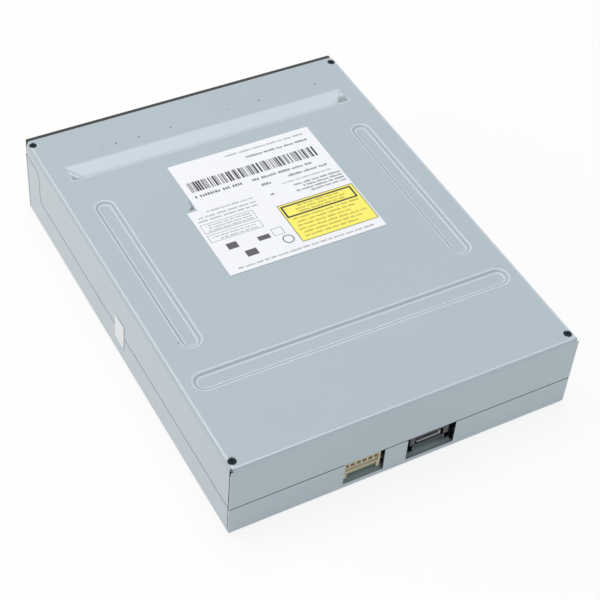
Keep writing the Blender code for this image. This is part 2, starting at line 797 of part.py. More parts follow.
def build_chassis():
    """The moulded frame: walls, tray rails, motor deck, gear pins, hinge blocks and board ledges."""
    front = FRONT_Y + SHEET + GAP
    rear = REAR_Y - SHEET - GAP
    inner = INNER_X - CHASSIS_WALL
    wall = CHASSIS_WALL / 2
    chassis = boxes("main_chassis", [((-INNER_X, front, CHASSIS_LOW), (INNER_X, rear, CHASSIS_HIGH))])
    cut(chassis, boxes("chassis_well", [((-inner, front + CHASSIS_WALL, -OVER),
                                         (inner, rear - CHASSIS_WALL, BODY_H))]))
    tray_port = ((-inner, front - OVER, SILL_Z), (inner, front + CHASSIS_WALL + OVER, BODY_H))
    port_x = BOARD_X + OVER
    rear_port = ((-port_x, rear - CHASSIS_WALL - OVER, -OVER), (port_x, rear + OVER, REAR_PORT_Z))
    cut(chassis, boxes("chassis_ports", [tray_port, rear_port]))
    rails = both_sides((inner - LEDGE_REACH, front + wall, LEDGE_TOP - LEDGE_T),
                       (inner + wall, REAR_Y - LEDGE_REAR, LEDGE_TOP))
    lip_low = TRAY_TOP + GAP
    for setback in LIP_SETBACKS:
        lip_y = FRONT_Y + setback
        rails += both_sides((inner - LIP_REACH, lip_y - LIP_HALF, lip_low),
                            (inner + wall, lip_y + LIP_HALF, lip_low + LIP_T))
    seat_y = 2 * LIP_HALF
    rails += both_sides((BRIDGE_SEAT_X, SPINDLE_Y - seat_y, lip_low),
                        (inner + wall, SPINDLE_Y + seat_y, BRIDGE_LOW - GAP))
    blocks = both_sides((HINGE_X, PIVOT.y - HINGE_BLOCK_D / 2, PIVOT_Z - HINGE_BLOCK_H / 2),
                        (inner + wall, PIVOT.y + HINGE_BLOCK_D / 2, PIVOT_Z + HINGE_BLOCK_H / 2))
    for setback in BOARD_LEDGE_SETBACKS:
        ledge_y = REAR_Y - setback
        blocks += both_sides((BOARD_LEDGE_X, ledge_y, BOARD_LOW - GAP - BOARD_LEDGE_T),
                             (inner + wall, ledge_y + BOARD_LEDGE_D, BOARD_LOW - GAP))
    join(chassis, boxes("chassis_rails", rails))
    join(chassis, boxes("chassis_blocks", blocks + post_blocks()))
    deck_x = inner + wall
    join(chassis, boxes("chassis_deck", [((-deck_x, front + wall, DECK_Z - DECK_T),
                                          (deck_x, DECK_REAR + wall, DECK_Z))]))
    wall_rear = DECK_REAR + CROSS_WALL_T
    join(chassis, boxes("chassis_cross_wall", [((-deck_x, DECK_REAR, CHASSIS_LOW),
                                                (deck_x, wall_rear, DECK_Z))]))
    cam_rear = CAM_Y + CAM_T
    guides = [((CAM_X_LOW - OVER, DECK_REAR + wall, CHASSIS_LOW),
               (CAM_X_HIGH + CAM_TRAVEL + OVER, cam_rear + HOOK_REACH, CAM_LOW - GAP))]
    guides += [((x, DECK_REAR + wall, DECK_Z - DECK_T), (x + HOOK_W, cam_rear + HOOK_REACH, DECK_Z))
               for x in HOOK_XS]
    join(chassis, boxes("cam_guides", guides))
    pins = [(GEAR_PIN_R, (x, GEAR_Y, DECK_Z - DECK_T / 2), (x, GEAR_Y, GEAR_HIGH - GAP))
            for x in (PINION_X, DRIVE_X)]
    join(chassis, rods("gear_pins", pins))
    holes = [(MOTOR_BOSS_R + GAP, (MOTOR_X, MOTOR_Y, DECK_Z - 2 * DECK_T),
              (MOTOR_X, MOTOR_Y, DECK_Z + OVER))]
    holes += [(TRUNNION_R + RUN, (side * (HINGE_X - OVER), PIVOT.y, PIVOT_Z),
               (side * (TRUNNION_END + GAP), PIVOT.y, PIVOT_Z)) for side in (-1, 1)]
    holes += [(SCREW_SHANK_R + SCREW_FIT, (x, y, CHASSIS_HIGH - POST_DROP + OVER),
               (x, y, CHASSIS_HIGH + OVER)) for x, y in screw_places()]
    cut(chassis, rods("chassis_holes", holes))
    return paint(chassis, BLACK, 0.55)


def involute(angle):
    return math.tan(angle) - angle


def gear_loop(teeth, turn):
    """A spur gear's outline about the origin, with one tooth centred on the angle given."""
    pitch_r = MODULE * teeth / 2
    base_r = pitch_r * math.cos(PRESSURE)
    tip_r = pitch_r + ADDENDUM
    root_r = pitch_r - DEDENDUM
    half_pitch = (math.pi * MODULE / 4 - BACKLASH / 2) / pitch_r
    flank_r = max(base_r, root_r)

    def half_angle(radius):
        return half_pitch + involute(PRESSURE) - involute(math.acos(base_r / radius))

    loop = []
    for index in range(teeth):
        middle = turn + 2 * math.pi * index / teeth
        corners = [(root_r, -half_angle(flank_r)), (pitch_r, -half_pitch), (tip_r, -half_angle(tip_r)),
                   (tip_r, half_angle(tip_r)), (pitch_r, half_pitch), (root_r, half_angle(flank_r))]
        loop += [(r * math.cos(middle + a), r * math.sin(middle + a)) for r, a in corners]
    return loop


def rack_teeth(first, last, gap_at, pitch_line, back, towards):
    """A straight rack's outline along one axis, with a gap between two teeth at gap_at.

    Points are (across, along); the teeth point to the side towards (+1 or -1) of the pitch line.
    """
    pitch = math.pi * MODULE
    half = pitch / 4 - BACKLASH / 2
    lean = math.tan(PRESSURE)
    root = pitch_line - towards * DEDENDUM
    tip = pitch_line + towards * ADDENDUM
    loop = [(back, first), (root, first)]
    number = math.ceil((first - gap_at) / pitch + 0.5)
    while gap_at + (number + 0.5) * pitch < last - half:
        middle = gap_at + (number + 0.5) * pitch
        wide, slim = half + DEDENDUM * lean, half - ADDENDUM * lean
        if middle - wide > first:
            loop += [(root, middle - wide), (tip, middle - slim), (tip, middle + slim),
                     (root, middle + wide)]
        number += 1
    return loop + [(root, last), (back, last)]


def build_tray():
    """The moulded tray: disc pockets, hub slot, runners, rack and the wall behind the tray front."""
    rear = REAR_Y - TRAY_SETBACK
    spindle = (0.0, SPINDLE_Y)
    slot_end = rear - SLOT_SETBACK
    keyhole = arc(spindle, HUB_HOLE_R, 180.0, 360.0, 12)
    keyhole += [(SLOT_X, SPINDLE_Y), (SLOT_X, slot_end), (-SLOT_X, slot_end), (-SLOT_X, SPINDLE_Y)]
    outline = rectangle((-TRAY_X, FRONT_Y + TRAY_WALL_T / 2), (TRAY_X, rear))
    tray = extruded("disc_tray", [outline, keyhole], TRAY_LOW, TRAY_TOP)
    disc_floor = TRAY_TOP - DISC_POCKET
    wide, small = DISC_R + DISC_MARGIN, SMALL_DISC_R + DISC_MARGIN
    bm = bmesh.new()
    add_rod(bm, wide, (*spindle, disc_floor), (*spindle, BODY_H), None, 72)
    cut(tray, mesh_object("disc_pocket", bm))
    bm = bmesh.new()
    add_rod(bm, small, (*spindle, disc_floor - SMALL_POCKET), (*spindle, BODY_H), None, 48)
    cut(tray, mesh_object("small_disc_pocket", bm))
    channel_x = SLOT_X + RUNNER_W
    cut(tray, boxes("tray_under_channel", [((-channel_x, slot_end - 2 * OVER, TRAY_LOW - OVER),
                                            (channel_x, rear + OVER, TRAY_LOW + TRAY_CHANNEL))]))
    sides = both_sides((TRAY_X - RUNNER_INSET - RUNNER_W, FRONT_Y + TRAY_WALL_T / 2, RUNNER_LOW),
                       (TRAY_X - RUNNER_INSET, rear - OVER, TRAY_LOW + OVER))
    join(tray, boxes("tray_runners", sides))
    back = RACK_PITCH_X + RACK_W
    loop = rack_teeth(FRONT_Y + RACK_FRONT, rear - 2 * OVER, GEAR_Y, RACK_PITCH_X, back, -1)
    join(tray, extruded("tray_rack", [loop], RUNNER_LOW - RACK_DROP, TRAY_LOW + OVER / 2))
    join(tray, boxes("tray_wall", [((-TRAY_WALL_X, FRONT_Y, TRAY_WALL_LOW),
                                    (TRAY_WALL_X, FRONT_Y + TRAY_WALL_T, TRAY_WALL_HIGH))]))
    return paint(tray, BLACK, 0.45)


def build_bezel():
    half = HALF_W - BEZEL_INSET
    rear = FRONT_Y - GAP
    bezel = boxes("tray_bezel", [((-half, rear - BEZEL_T, BEZEL_LOW), (half, rear, BEZEL_HIGH))])
    edges = bezel.modifiers.new("edges", "BEVEL")
    edges.width = BEZEL_EDGE
    edges.segments = 2
    edges.limit_method = "ANGLE"
    return paint(bezel, (0.035, 0.035, 0.04), 0.4)


def build_clamp():
    """The bridge over the disc, and the clamper that hangs loosely in it."""
    spindle = (0.0, SPINDLE_Y)
    span = INNER_X - CHASSIS_WALL - GAP
    low, high = (-span, SPINDLE_Y - BRIDGE_HALF), (span, SPINDLE_Y + BRIDGE_HALF)
    collar = CLAMPER_R + BRIDGE_MARGIN
    outline = [low, (-collar, low[1])]
    outline += arc(spindle, collar + BRIDGE_MARGIN, 232.0, 308.0, 8)
    outline += [(collar, low[1]), (high[0], low[1]), high, (collar, high[1])]
    outline += arc(spindle, collar + BRIDGE_MARGIN, 52.0, 128.0, 8)
    outline += [(-collar, high[1]), (low[0], high[1])]
    bridge = extruded("clamp_bridge", [outline, circle(spindle, BRIDGE_HOLE_R)],
                      BRIDGE_LOW, BRIDGE_LOW + BRIDGE_T)
    paint(bridge, STEEL, 0.4, 1.0)
    place = (0.0, SPINDLE_Y, CLAMPER_Z)
    neck_top = BRIDGE_LOW + BRIDGE_T + CLAMPER_NECK_RISE - CLAMPER_Z
    recess = CLAMPER_RECESS_H
    clamper = turned("clamper", [
        (0.0, neck_top), (CLAMPER_NECK_R, neck_top), (CLAMPER_NECK_R, CLAMPER_T),
        (CLAMPER_R, CLAMPER_T), (CLAMPER_R, 0.0), (CLAMPER_RECESS_R, 0.0),
        (CLAMPER_RECESS_R, recess), (0.0, recess)], place)
    paint(clamper, (0.80, 0.80, 0.78), 0.5)
    cap_low = BRIDGE_LOW + BRIDGE_T + GAP
    cap_r = CLAMPER_R - GAP
    cap = turned("clamper_cap", [
        (cap_r, CAP_T), (cap_r, 0.0), (CLAMPER_NECK_R + RUN, 0.0), (CLAMPER_NECK_R + RUN, CAP_T)],
        (0.0, SPINDLE_Y, cap_low))
    paint(cap, (0.75, 0.75, 0.73), 0.5)
    yoke_low = CLAMPER_Z + recess - YOKE_T - RUN
    yoke = turned("clamp_yoke", [
        (0.0, YOKE_T), (YOKE_R, YOKE_T), (YOKE_R, 0.0), (0.0, 0.0)], (0.0, SPINDLE_Y, yoke_low))
    paint(yoke, BRIGHT, 0.3, 1.0)


def level_rod(radius, x, first, last, z):
    """A rod along Y on the traverse; first and last are counted from the spindle."""
    return (radius, (x, SPINDLE_Y + first, z), (x, SPINDLE_Y + last, z))


def build_lift_frame():
    """The moulded frame that carries the traverse: trunnions at the back, cam pins in front."""
    low, high = PIVOT_Z - LIFT_T / 2, PIVOT_Z + LIFT_T / 2
    front, rear = SPINDLE_Y - LIFT_FRONT, PIVOT.y + LIFT_RAIL / 2
    inner = LIFT_X - LIFT_RAIL
    outline = rectangle((-LIFT_X, front), (LIFT_X, rear))
    hole = rectangle((-inner, front + LIFT_BAR), (inner, rear - LIFT_RAIL))
    frame = extruded("lift_frame", [outline, hole], low, high)
    studs = [(BOSS_R, (x, y, high - OVER), (x, y, high + BOSS_RISE)) for x, y in damper_places()]
    studs += [(TRUNNION_R, (side * (LIFT_X - OVER), PIVOT.y, PIVOT_Z),
               (side * TRUNNION_END, PIVOT.y, PIVOT_Z)) for side in (-1, 1)]
    studs += [(PIN_R, (x, front + OVER, PIVOT_Z), (x, CAM_Y + PIN_BEHIND, PIVOT_Z))
              for x in (-PIN_X, PIN_X)]
    join(frame, rods("lift_frame_studs", studs))
    holes = [(SCREW_R + SCREW_FIT, (x, y, low - OVER), (x, y, high + 2 * BOSS_RISE))
             for x, y in damper_places()]
    cut(frame, rods("lift_frame_holes", holes))
    return paint(frame, BLACK, 0.5)


def damper_places():
    return [(x, SPINDLE_Y + y) for y in (DAMPER_FRONT, DAMPER_REAR) for x in (-BOSS_X, BOSS_X)]


def build_mech_plate():
    """The stamped plate under the disc: ears for the dampers, window for the pickup, rod tabs."""
    front, rear = SPINDLE_Y - PLATE_FRONT, SPINDLE_Y + PLATE_REAR
    right = [(PLATE_X, front)]
    for y in (SPINDLE_Y + DAMPER_FRONT, SPINDLE_Y + DAMPER_REAR):
        right += [(PLATE_X, y - EAR_HALF), (PLATE_EAR_X, y - EAR_HALF),
                  (PLATE_EAR_X, y + EAR_HALF), (PLATE_X, y + EAR_HALF)]
    right.append((PLATE_X, rear))
    left = [(-x, y) for x, y in reversed(right)]
    window = rectangle((-WINDOW_LEFT, SPINDLE_Y + WINDOW_FRONT), (WINDOW_RIGHT, SPINDLE_Y + WINDOW_REAR))
    loops = [right + left, window, circle((0.0, SPINDLE_Y), BOSS_R)]
    loops += [circle(place, DAMPER_WAIST_R + GAP) for place in damper_places()]
    plate = extruded("mech_plate", loops, PLATE_Z, PLATE_Z + PLATE_T)
    foot = PLATE_Z + PLATE_T / 2
    tabs, holes = [], []
    for x in (ROD_LEFT, ROD_RIGHT):
        for y in (TAB_FRONT, TAB_REAR):
            tabs.append(((x - TAB_W / 2, SPINDLE_Y + y - TAB_T / 2, foot),
                         (x + TAB_W / 2, SPINDLE_Y + y + TAB_T / 2, TAB_TOP)))
            holes.append(level_rod(ROD_R + RUN, x, y - TAB_T, y + TAB_T, ROD_Z))
    tabs.append(((LEAD_X - TAB_W / 2, SPINDLE_Y + JOURNAL_Y - TAB_T / 2, foot),
                 (LEAD_X + TAB_W / 2, SPINDLE_Y + JOURNAL_Y + TAB_T / 2, LEAD_Z + 2 * ROD_R - OVER)))
    holes.append(level_rod(LEAD_R + RUN, LEAD_X, JOURNAL_Y - TAB_T, JOURNAL_Y + TAB_T, LEAD_Z))
    join(plate, boxes("plate_tabs", tabs), "MANIFOLD")
    cut(plate, rods("plate_bores", holes))
    return paint(plate, STEEL, 0.4, 1.0)


def build_dampers():
    """Four rubber spools gripping the plate's ears, and the screws through them."""
    made = []
    top = PLATE_Z + PLATE_T + DAMPER_FLANGE + GAP
    foot = PIVOT_Z + LIFT_T / 2 + BOSS_RISE + GAP
    waist_low, waist_high = PLATE_Z - GAP, PLATE_Z + PLATE_T + GAP
    for number, (x, y) in enumerate(damper_places(), start=1):
        damper = turned(f"damper_{number}", [
            (DAMPER_R, top), (DAMPER_R, waist_high), (DAMPER_WAIST_R, waist_high),
            (DAMPER_WAIST_R, waist_low), (DAMPER_R, waist_low), (DAMPER_R, foot),
            (DAMPER_BORE_R, foot), (DAMPER_BORE_R, top)], (x, y, 0.0), 24)
        head = top + GAP
        screw = turned(f"damper_screw_{number}", [
            (0.0, head + SCREW_HEAD_T), (SCREW_HEAD_WIDE, head + SCREW_HEAD_T), (SCREW_HEAD_WIDE, head),
            (SCREW_R, head), (SCREW_R, PIVOT_Z - LIFT_T / 4), (0.0, PIVOT_Z - LIFT_T / 4)],
            (x, y, 0.0), 24)
        made += [paint(damper, RUBBER, 0.9), paint(screw, BRIGHT, 0.3, 1.0)]
    return made


def build_guides():
    """The two guide rods, the lead screw and the motor that turns it."""
    rod_span = (TAB_FRONT - TAB_T, TAB_REAR + TAB_T)
    left = rods("guide_rod_left", [level_rod(ROD_R, ROD_LEFT, *rod_span, ROD_Z)])
    right = rods("guide_rod_right", [level_rod(ROD_R, ROD_RIGHT, *rod_span, ROD_Z)])
    motor = rods("sled_motor", [level_rod(SLED_MOTOR_R, LEAD_X, SLED_MOTOR_START, SLED_MOTOR_END, LEAD_Z)])
    screw = rods("lead_screw", [level_rod(LEAD_R, LEAD_X, JOURNAL_Y - TAB_T, SLED_MOTOR_START - GAP,
                                          LEAD_Z)])
    for piece in (left, right, motor, screw):
        paint(piece, BRIGHT, 0.2, 1.0)
    return [left, right, motor], screw


def build_pickup():
    """The pickup carriage on its rods, the floating lens holder and the lens."""
    lens_y = SPINDLE_Y + PICKUP_Y
    front, rear = lens_y - PICKUP_FRONT, lens_y + PICKUP_REAR
    left, right = PICKUP_CORE
    body = boxes("pickup_body", [((left, front, PICKUP_LOW), (right, rear, PICKUP_HIGH))])
    arms = ((-WINDOW_LEFT + ARM_MARGIN, front + OVER, ARM_LOW),
            (WINDOW_RIGHT - ARM_MARGIN, rear - OVER, ARM_HIGH))
    nut = ((LEAD_X + LEAD_R + GAP, lens_y - NUT_FRONT, LEAD_Z - LEAD_R),
           (-WINDOW_LEFT + 2 * ARM_MARGIN, lens_y + NUT_REAR, LEAD_Z + LEAD_R / 2))
    join(body, boxes("pickup_arms", [arms]))
    join(body, boxes("pickup_nut", [nut]))
    pocket_x, pocket_y = LENS_POCKET
    cut(body, boxes("lens_pocket", [((-pocket_x, lens_y - pocket_y, LENS_POCKET_FLOOR),
                                     (pocket_x, lens_y + pocket_y, BODY_H))]))
    bores = [level_rod(ROD_R + RUN, x, PICKUP_Y - 2 * PICKUP_FRONT, PICKUP_Y + 2 * PICKUP_REAR, ROD_Z)
             for x in (ROD_LEFT, ROD_RIGHT)]
    cut(body, rods("pickup_bores", bores))
    paint(body, (0.30, 0.30, 0.31), 0.45, 1.0)
    half_x, half_y = HOLDER_HALF
    holder = boxes("lens_holder", [((-half_x, lens_y - half_y, HOLDER_LOW),
                                    (half_x, lens_y + half_y, HOLDER_HIGH))])
    cut(holder, rods("lens_seat", [(LENS_R - 3 * RUN, (0.0, lens_y, HOLDER_LOW + OVER),
                                    (0.0, lens_y, HOLDER_HIGH + OVER))]))
    paint(holder, BLACK, 0.5)
    lens_low = HOLDER_HIGH + RUN
    dome = [math.radians(angle) for angle in (20, 40, 60, 80)]
    profile = [(0.0, LENS_RISE)] + [(LENS_R * math.sin(a), LENS_RISE * math.cos(a)) for a in dome]
    profile += [(LENS_R, 0.0), (0.0, 0.0)]
    lens = turned("objective_lens", profile, (0.0, lens_y, lens_low))
    paint(lens, (0.25, 0.35, 0.60), 0.05)
    return body, [holder, lens]


def build_spindle():
    """The spindle motor's base and stator, its cup-shaped rotor, the turntable and its mat."""
    place = (0.0, SPINDLE_Y)
    base = boxes("spindle_base", [((-BASE_X, SPINDLE_Y - BASE_FRONT, BASE_LOW),
                                   (BASE_X, SPINDLE_Y + BASE_REAR, BASE_LOW + BASE_T))])
    join(base, rods("stator", [(STATOR_R, (*place, BASE_LOW + BASE_T / 2), (*place, STATOR_HIGH))]))
    cut(base, rods("stator_bore", [(SPINDLE_R + GAP, (*place, BASE_LOW - OVER),
                                    (*place, STATOR_HIGH + OVER))]))
    paint(base, BRIGHT, 0.4, 1.0)
    roof = ROTOR_HIGH - ROTOR_WALL
    table_top = SEAT_Z - RUN
    shaft_top = table_top
    rotor = turned("spindle_rotor", [
        (0.0, shaft_top), (SPINDLE_R, shaft_top), (SPINDLE_R, ROTOR_HIGH), (ROTOR_R, ROTOR_HIGH),
        (ROTOR_R, ROTOR_LOW), (ROTOR_R - ROTOR_WALL, ROTOR_LOW), (ROTOR_R - ROTOR_WALL, roof),
        (SPINDLE_R, roof), (SPINDLE_R, BASE_LOW + GAP), (0.0, BASE_LOW + GAP)], (*place, 0.0))
    paint(rotor, BRIGHT, 0.25, 1.0)
    hub_top = SEAT_Z + HUB_RISE
    groove = SEAT_Z - MAT_T - RUN
    table = turned("turntable", [
        (0.0, hub_top), (HUB_R - 2 * GAP, hub_top), (HUB_R, hub_top - 2 * GAP), (HUB_R, table_top),
        (MAT_IN - RUN, table_top), (MAT_IN - RUN, groove), (MAT_OUT + RUN, groove),
        (MAT_OUT + RUN, table_top), (TURNTABLE_R, table_top), (TURNTABLE_R, table_top - TURNTABLE_T),
        (SPINDLE_R + RUN, table_top - TURNTABLE_T), (SPINDLE_R + RUN, table_top + GAP),
        (0.0, table_top + GAP)], (*place, 0.0), 36)
    paint(table, BLACK, 0.4)
    mat = turned("turntable_mat", [
        (MAT_OUT, SEAT_Z), (MAT_OUT, SEAT_Z - MAT_T), (MAT_IN, SEAT_Z - MAT_T), (MAT_IN, SEAT_Z)],
        (*place, 0.0), 36)
    paint(mat, RUBBER, 0.9)
    return base, [rotor, table, mat]


def build_loading_train():
    """The loading motor with its pulley and belt, the pulley gear and the drive gear."""
    spot = (MOTOR_X, MOTOR_Y)
    wheel_low = DECK_Z + BELT_SQUARE / 2 - RUN
    groove_low, groove_high = BELT_Z - BELT_T / 2 - RUN, BELT_Z + BELT_T / 2 + RUN
    flange = WHEEL_FLANGE_T
    motor = rods("loading_motor", [(MOTOR_R, (*spot, MOTOR_LOW), (*spot, MOTOR_HIGH))])
    join(motor, rods("motor_boss", [(MOTOR_BOSS_R, (*spot, MOTOR_HIGH - OVER), (*spot, DECK_Z - 2 * GAP))]))
    join(motor, rods("motor_shaft", [(MOTOR_SHAFT_R, (*spot, MOTOR_HIGH + OVER / 2), (*spot, GEAR_LOW))]))
    paint(motor, BRIGHT, 0.35, 1.0)
    bore = MOTOR_SHAFT_R + RUN
    pulley = turned("motor_pulley", [
        (PULLEY_FLANGE_R, groove_high + flange), (PULLEY_FLANGE_R, groove_high),
        (PULLEY_GROOVE_R, groove_high), (PULLEY_GROOVE_R, groove_low), (PULLEY_FLANGE_R, groove_low),
        (PULLEY_FLANGE_R, groove_low - flange + GAP), (bore, groove_low - flange + GAP),
        (bore, groove_high + flange)], (*spot, 0.0), 24)
    paint(pulley, (0.75, 0.74, 0.70), 0.5)
    wheel_place = (PINION_X, GEAR_Y)
    wheel = turned("pulley_gear", [
        (0.0, groove_high + flange), (WHEEL_FLANGE_R, groove_high + flange), (WHEEL_FLANGE_R, groove_high),
        (WHEEL_GROOVE_R, groove_high), (WHEEL_GROOVE_R, groove_low), (WHEEL_FLANGE_R, groove_low),
        (WHEEL_FLANGE_R, wheel_low), (0.0, wheel_low)], (*wheel_place, 0.0), 36)
    pinion = gear_loop(PINION_TEETH, math.pi / PINION_TEETH)
    pinion = [(x + PINION_X, y + GEAR_Y) for x, y in pinion]
    join(wheel, extruded("pinion", [pinion], groove_high + flange / 2, GEAR_HIGH))
    cut(wheel, rods("pulley_gear_bore", [(GEAR_BORE_R, (*wheel_place, DECK_Z), (*wheel_place, BODY_H))]))
    paint(wheel, (0.80, 0.79, 0.75), 0.5)
    teeth = [(x + DRIVE_X, y + GEAR_Y) for x, y in gear_loop(DRIVE_TEETH, 0.0)]
    drive = extruded("drive_gear", [teeth], GEAR_LOW, GEAR_HIGH)
    drive_place = (DRIVE_X, GEAR_Y)
    join(drive, rods("drive_hub", [(GEAR_BORE_R + DRIVE_HUB_WALL, (*drive_place, DECK_Z + GAP),
                                    (*drive_place, GEAR_LOW + OVER / 2))]))
    cut(drive, rods("drive_bore", [(GEAR_BORE_R, (*drive_place, DECK_Z), (*drive_place, BODY_H))]))
    paint(drive, (0.80, 0.79, 0.75), 0.5)
    return pulley, wheel, drive


def build_belt():
    """The flat belt: two arcs about the pulleys, joined by their outer tangents."""
    away = Vector((PINION_X - MOTOR_X, GEAR_Y - MOTOR_Y))
    heading = math.degrees(math.atan2(away.y, away.x))
    lean = math.degrees(math.asin((WHEEL_GROOVE_R - PULLEY_GROOVE_R) / away.length))
    loops = []
    for growth in (GAP + BELT_SQUARE, GAP):
        small = arc((MOTOR_X, MOTOR_Y), PULLEY_GROOVE_R + growth, heading + 90 + lean,
                    heading + 270 - lean, 12)
        large = arc((PINION_X, GEAR_Y), WHEEL_GROOVE_R + growth, heading - 90 - lean,
                    heading + 90 + lean, 24)
        loops.append(small + large)
    belt = extruded("drive_belt", loops, BELT_Z - BELT_T / 2, BELT_Z + BELT_T / 2)
    return paint(belt, RUBBER, 0.8)


def cam_slot(pin_x, low_z, high_z):
    """The closed outline of an inclined slot with a short level dwell at each end."""
    path = [(pin_x + CAM_DWELL, low_z), (pin_x, low_z), (pin_x - CAM_TRAVEL, high_z),
            (pin_x - CAM_TRAVEL - CAM_DWELL, high_z)]
    lean = math.atan2(high_z - low_z, CAM_TRAVEL) / 2
    shift = SLOT_R * math.tan(lean)
    upper = [(path[1][0] + shift, low_z + SLOT_R), (path[2][0] + shift, high_z + SLOT_R)]
    lower = [(path[2][0] - shift, high_z - SLOT_R), (path[1][0] - shift, low_z - SLOT_R)]
    return (arc(path[0], SLOT_R, -90.0, 90.0, 8) + upper + arc(path[3], SLOT_R, 90.0, 270.0, 8) + lower)


def build_cam_slider():
    """The slider with two cam slots for the lift frame's pins, and the rack that starts it."""
    arm_z = PIVOT.y - (CAM_Y + CAM_T / 2)
    high_z = PIVOT_Z
    low_z = PIVOT_Z - arm_z * math.sin(TILT)
    rear = CAM_Y + CAM_T
    arm_low, arm_high = GEAR_HIGH - GAP / 2 - ARM_T, GEAR_HIGH - GAP / 2
    shoulder = CAM_HIGH - 2 * OVER
    outline = [(CAM_X_LOW, CAM_LOW), (CAM_X_HIGH, CAM_LOW), (CAM_X_HIGH, shoulder), (ARM_RIGHT, shoulder),
               (ARM_RIGHT, arm_high), (ARM_LEFT, arm_high), (ARM_LEFT, CAM_HIGH), (CAM_X_LOW, CAM_HIGH)]
    slots = [cam_slot(x, low_z, high_z) for x in (-PIN_X, PIN_X)]
    slider = extruded("cam_slider", [outline] + slots, CAM_Y, rear, upright=True)
    pitch_line = GEAR_Y + MODULE * DRIVE_TEETH / 2 + ADDENDUM + CAM_TEETH_GAP + ADDENDUM
    loop = rack_teeth(ARM_LEFT + RUN, ARM_RIGHT - RUN, ARM_LEFT, pitch_line, CAM_Y + OVER, -1)
    loop = [(along, across) for across, along in loop]
    join(slider, extruded("cam_rack", [loop], arm_low, arm_high - GAP / 4), "MANIFOLD")
    return paint(slider, (0.78, 0.78, 0.76), 0.5)


def build_board():
    """The main board with its two large chips and the two sockets at the rear."""
    rear = REAR_Y - BOARD_REAR_SETBACK
    front = REAR_Y - BOARD_D
    board = boxes("main_board", [((-BOARD_X, front, BOARD_LOW), (BOARD_X, rear, BOARD_TOP))])
    paint(board, (0.05, 0.22, 0.12), 0.5)
    for name, (x, y, half_x, half_y) in CHIPS.items():
        low = BOARD_TOP + RUN
        chip = boxes(name, [((x - half_x, front + y - half_y, low),
                             (x + half_x, front + y + half_y, low + CHIP_RISE))])
        paint(chip, BLACK, 0.5)
    build_power_socket()
    build_data_socket()


def socket_body(name, x, width, lug_z):
    """A socket's housing on the board, with lugs that reach down past the board's edge."""
    face = REAR_Y - SOCKET_SETBACK
    half = width / 2
    socket = boxes(name, [((x - half, face - SOCKET_DEPTH, SOCKET_LOW), (x + half, face, SOCKET_HIGH))])
    lug_front = REAR_Y - BOARD_REAR_SETBACK + GAP
    lugs = [((x - half, lug_front, lug_z), (x - half + LUG_W, face - GAP, SOCKET_LOW + OVER)),
            ((x + half - LUG_W, lug_front, lug_z), (x + half, face - GAP, SOCKET_LOW + OVER))]
    join(socket, boxes(name + "_lugs", lugs))
    return socket, face


def build_power_socket():
    socket, face = socket_body("power_socket", POWER_X, POWER_W, SOCKET_LOW - LUG_DROP)
    middle = (SOCKET_LOW + SOCKET_HIGH) / 2
    half = POWER_CAVITY / 2
    first = POWER_X - POWER_PITCH * (POWER_WAYS - 1) / 2
    wells = [((first + i * POWER_PITCH - half, face - SOCKET_MOUTH, middle - POWER_CAVITY),
              (first + i * POWER_PITCH + half, face + OVER, middle + POWER_CAVITY))
             for i in range(POWER_WAYS)]
    cut(socket, boxes("power_wells", wells))
    return paint(socket, (0.72, 0.66, 0.50), 0.5)


def build_data_socket():
    socket, face = socket_body("data_socket", DATA_X, DATA_W, SOCKET_LOW - DATA_LUG_DROP)
    low, high = SOCKET_LOW + SOCKET_WALL, SOCKET_HIGH - SOCKET_WALL
    half = DATA_MOUTH_W / 2
    cut(socket, boxes("data_mouth", [((DATA_X - half, face - SOCKET_MOUTH, low),
                                      (DATA_X + half, face + OVER, high))]))
    tongue = DATA_TONGUE_W / 2
    middle = (low + high) / 2
    root = face - SOCKET_MOUTH - OVER
    tip = face - OVER
    join(socket, boxes("data_tongue", [((DATA_X - tongue, root, middle),
                                        (DATA_X + tongue, tip, middle + DATA_TONGUE_T))]))
    join(socket, boxes("data_key", [((DATA_X - tongue, root, middle - DATA_TONGUE_T / 2),
                                     (DATA_X - tongue + DATA_TONGUE_T, tip, middle + DATA_TONGUE_T / 2))]))
    return paint(socket, BLACK, 0.4)


def build_trim():
    """The four corner screws, the label on the top and the seal across the side seam."""
    for number, (x, y) in enumerate(screw_places(), start=1):
        top = BODY_H - SCREW_HEAD_SINK
        neck = top - (SCREW_HEAD_R - SCREW_SHANK_R)
        screw = turned(f"cover_screw_{number}", [
            (0.0, top), (SCREW_HEAD_R, top), (SCREW_SHANK_R, neck), (SCREW_SHANK_R, top - SCREW_LENGTH),
            (0.0, top - SCREW_LENGTH)], (x, y, 0.0), 24)
        paint(screw, (0.03, 0.035, 0.04), 0.4, 1.0)
    front, step, rear = (FRONT_Y + y for y in (LABEL_FRONT, LABEL_STEP, LABEL_REAR))
    outline = [(LABEL_LEFT, front), (LABEL_STEP_RIGHT, front), (LABEL_STEP_RIGHT, step),
               (LABEL_RIGHT, step), (LABEL_RIGHT, rear), (LABEL_LEFT, rear)]
    label = extruded("label", [outline], FILM_Z, FILM_Z + LABEL_T)
    paint(label, (0.86, 0.88, 0.92), 0.5)
    face = HALF_W + FILM_GAP
    seal = boxes("seal", [((face, FRONT_Y + SEAL_START, SEAL_LOW),
                           (face + SEAL_T, FRONT_Y + SEAL_END, SEAL_HIGH))])
    paint(seal, (0.80, 0.82, 0.84), 0.4)


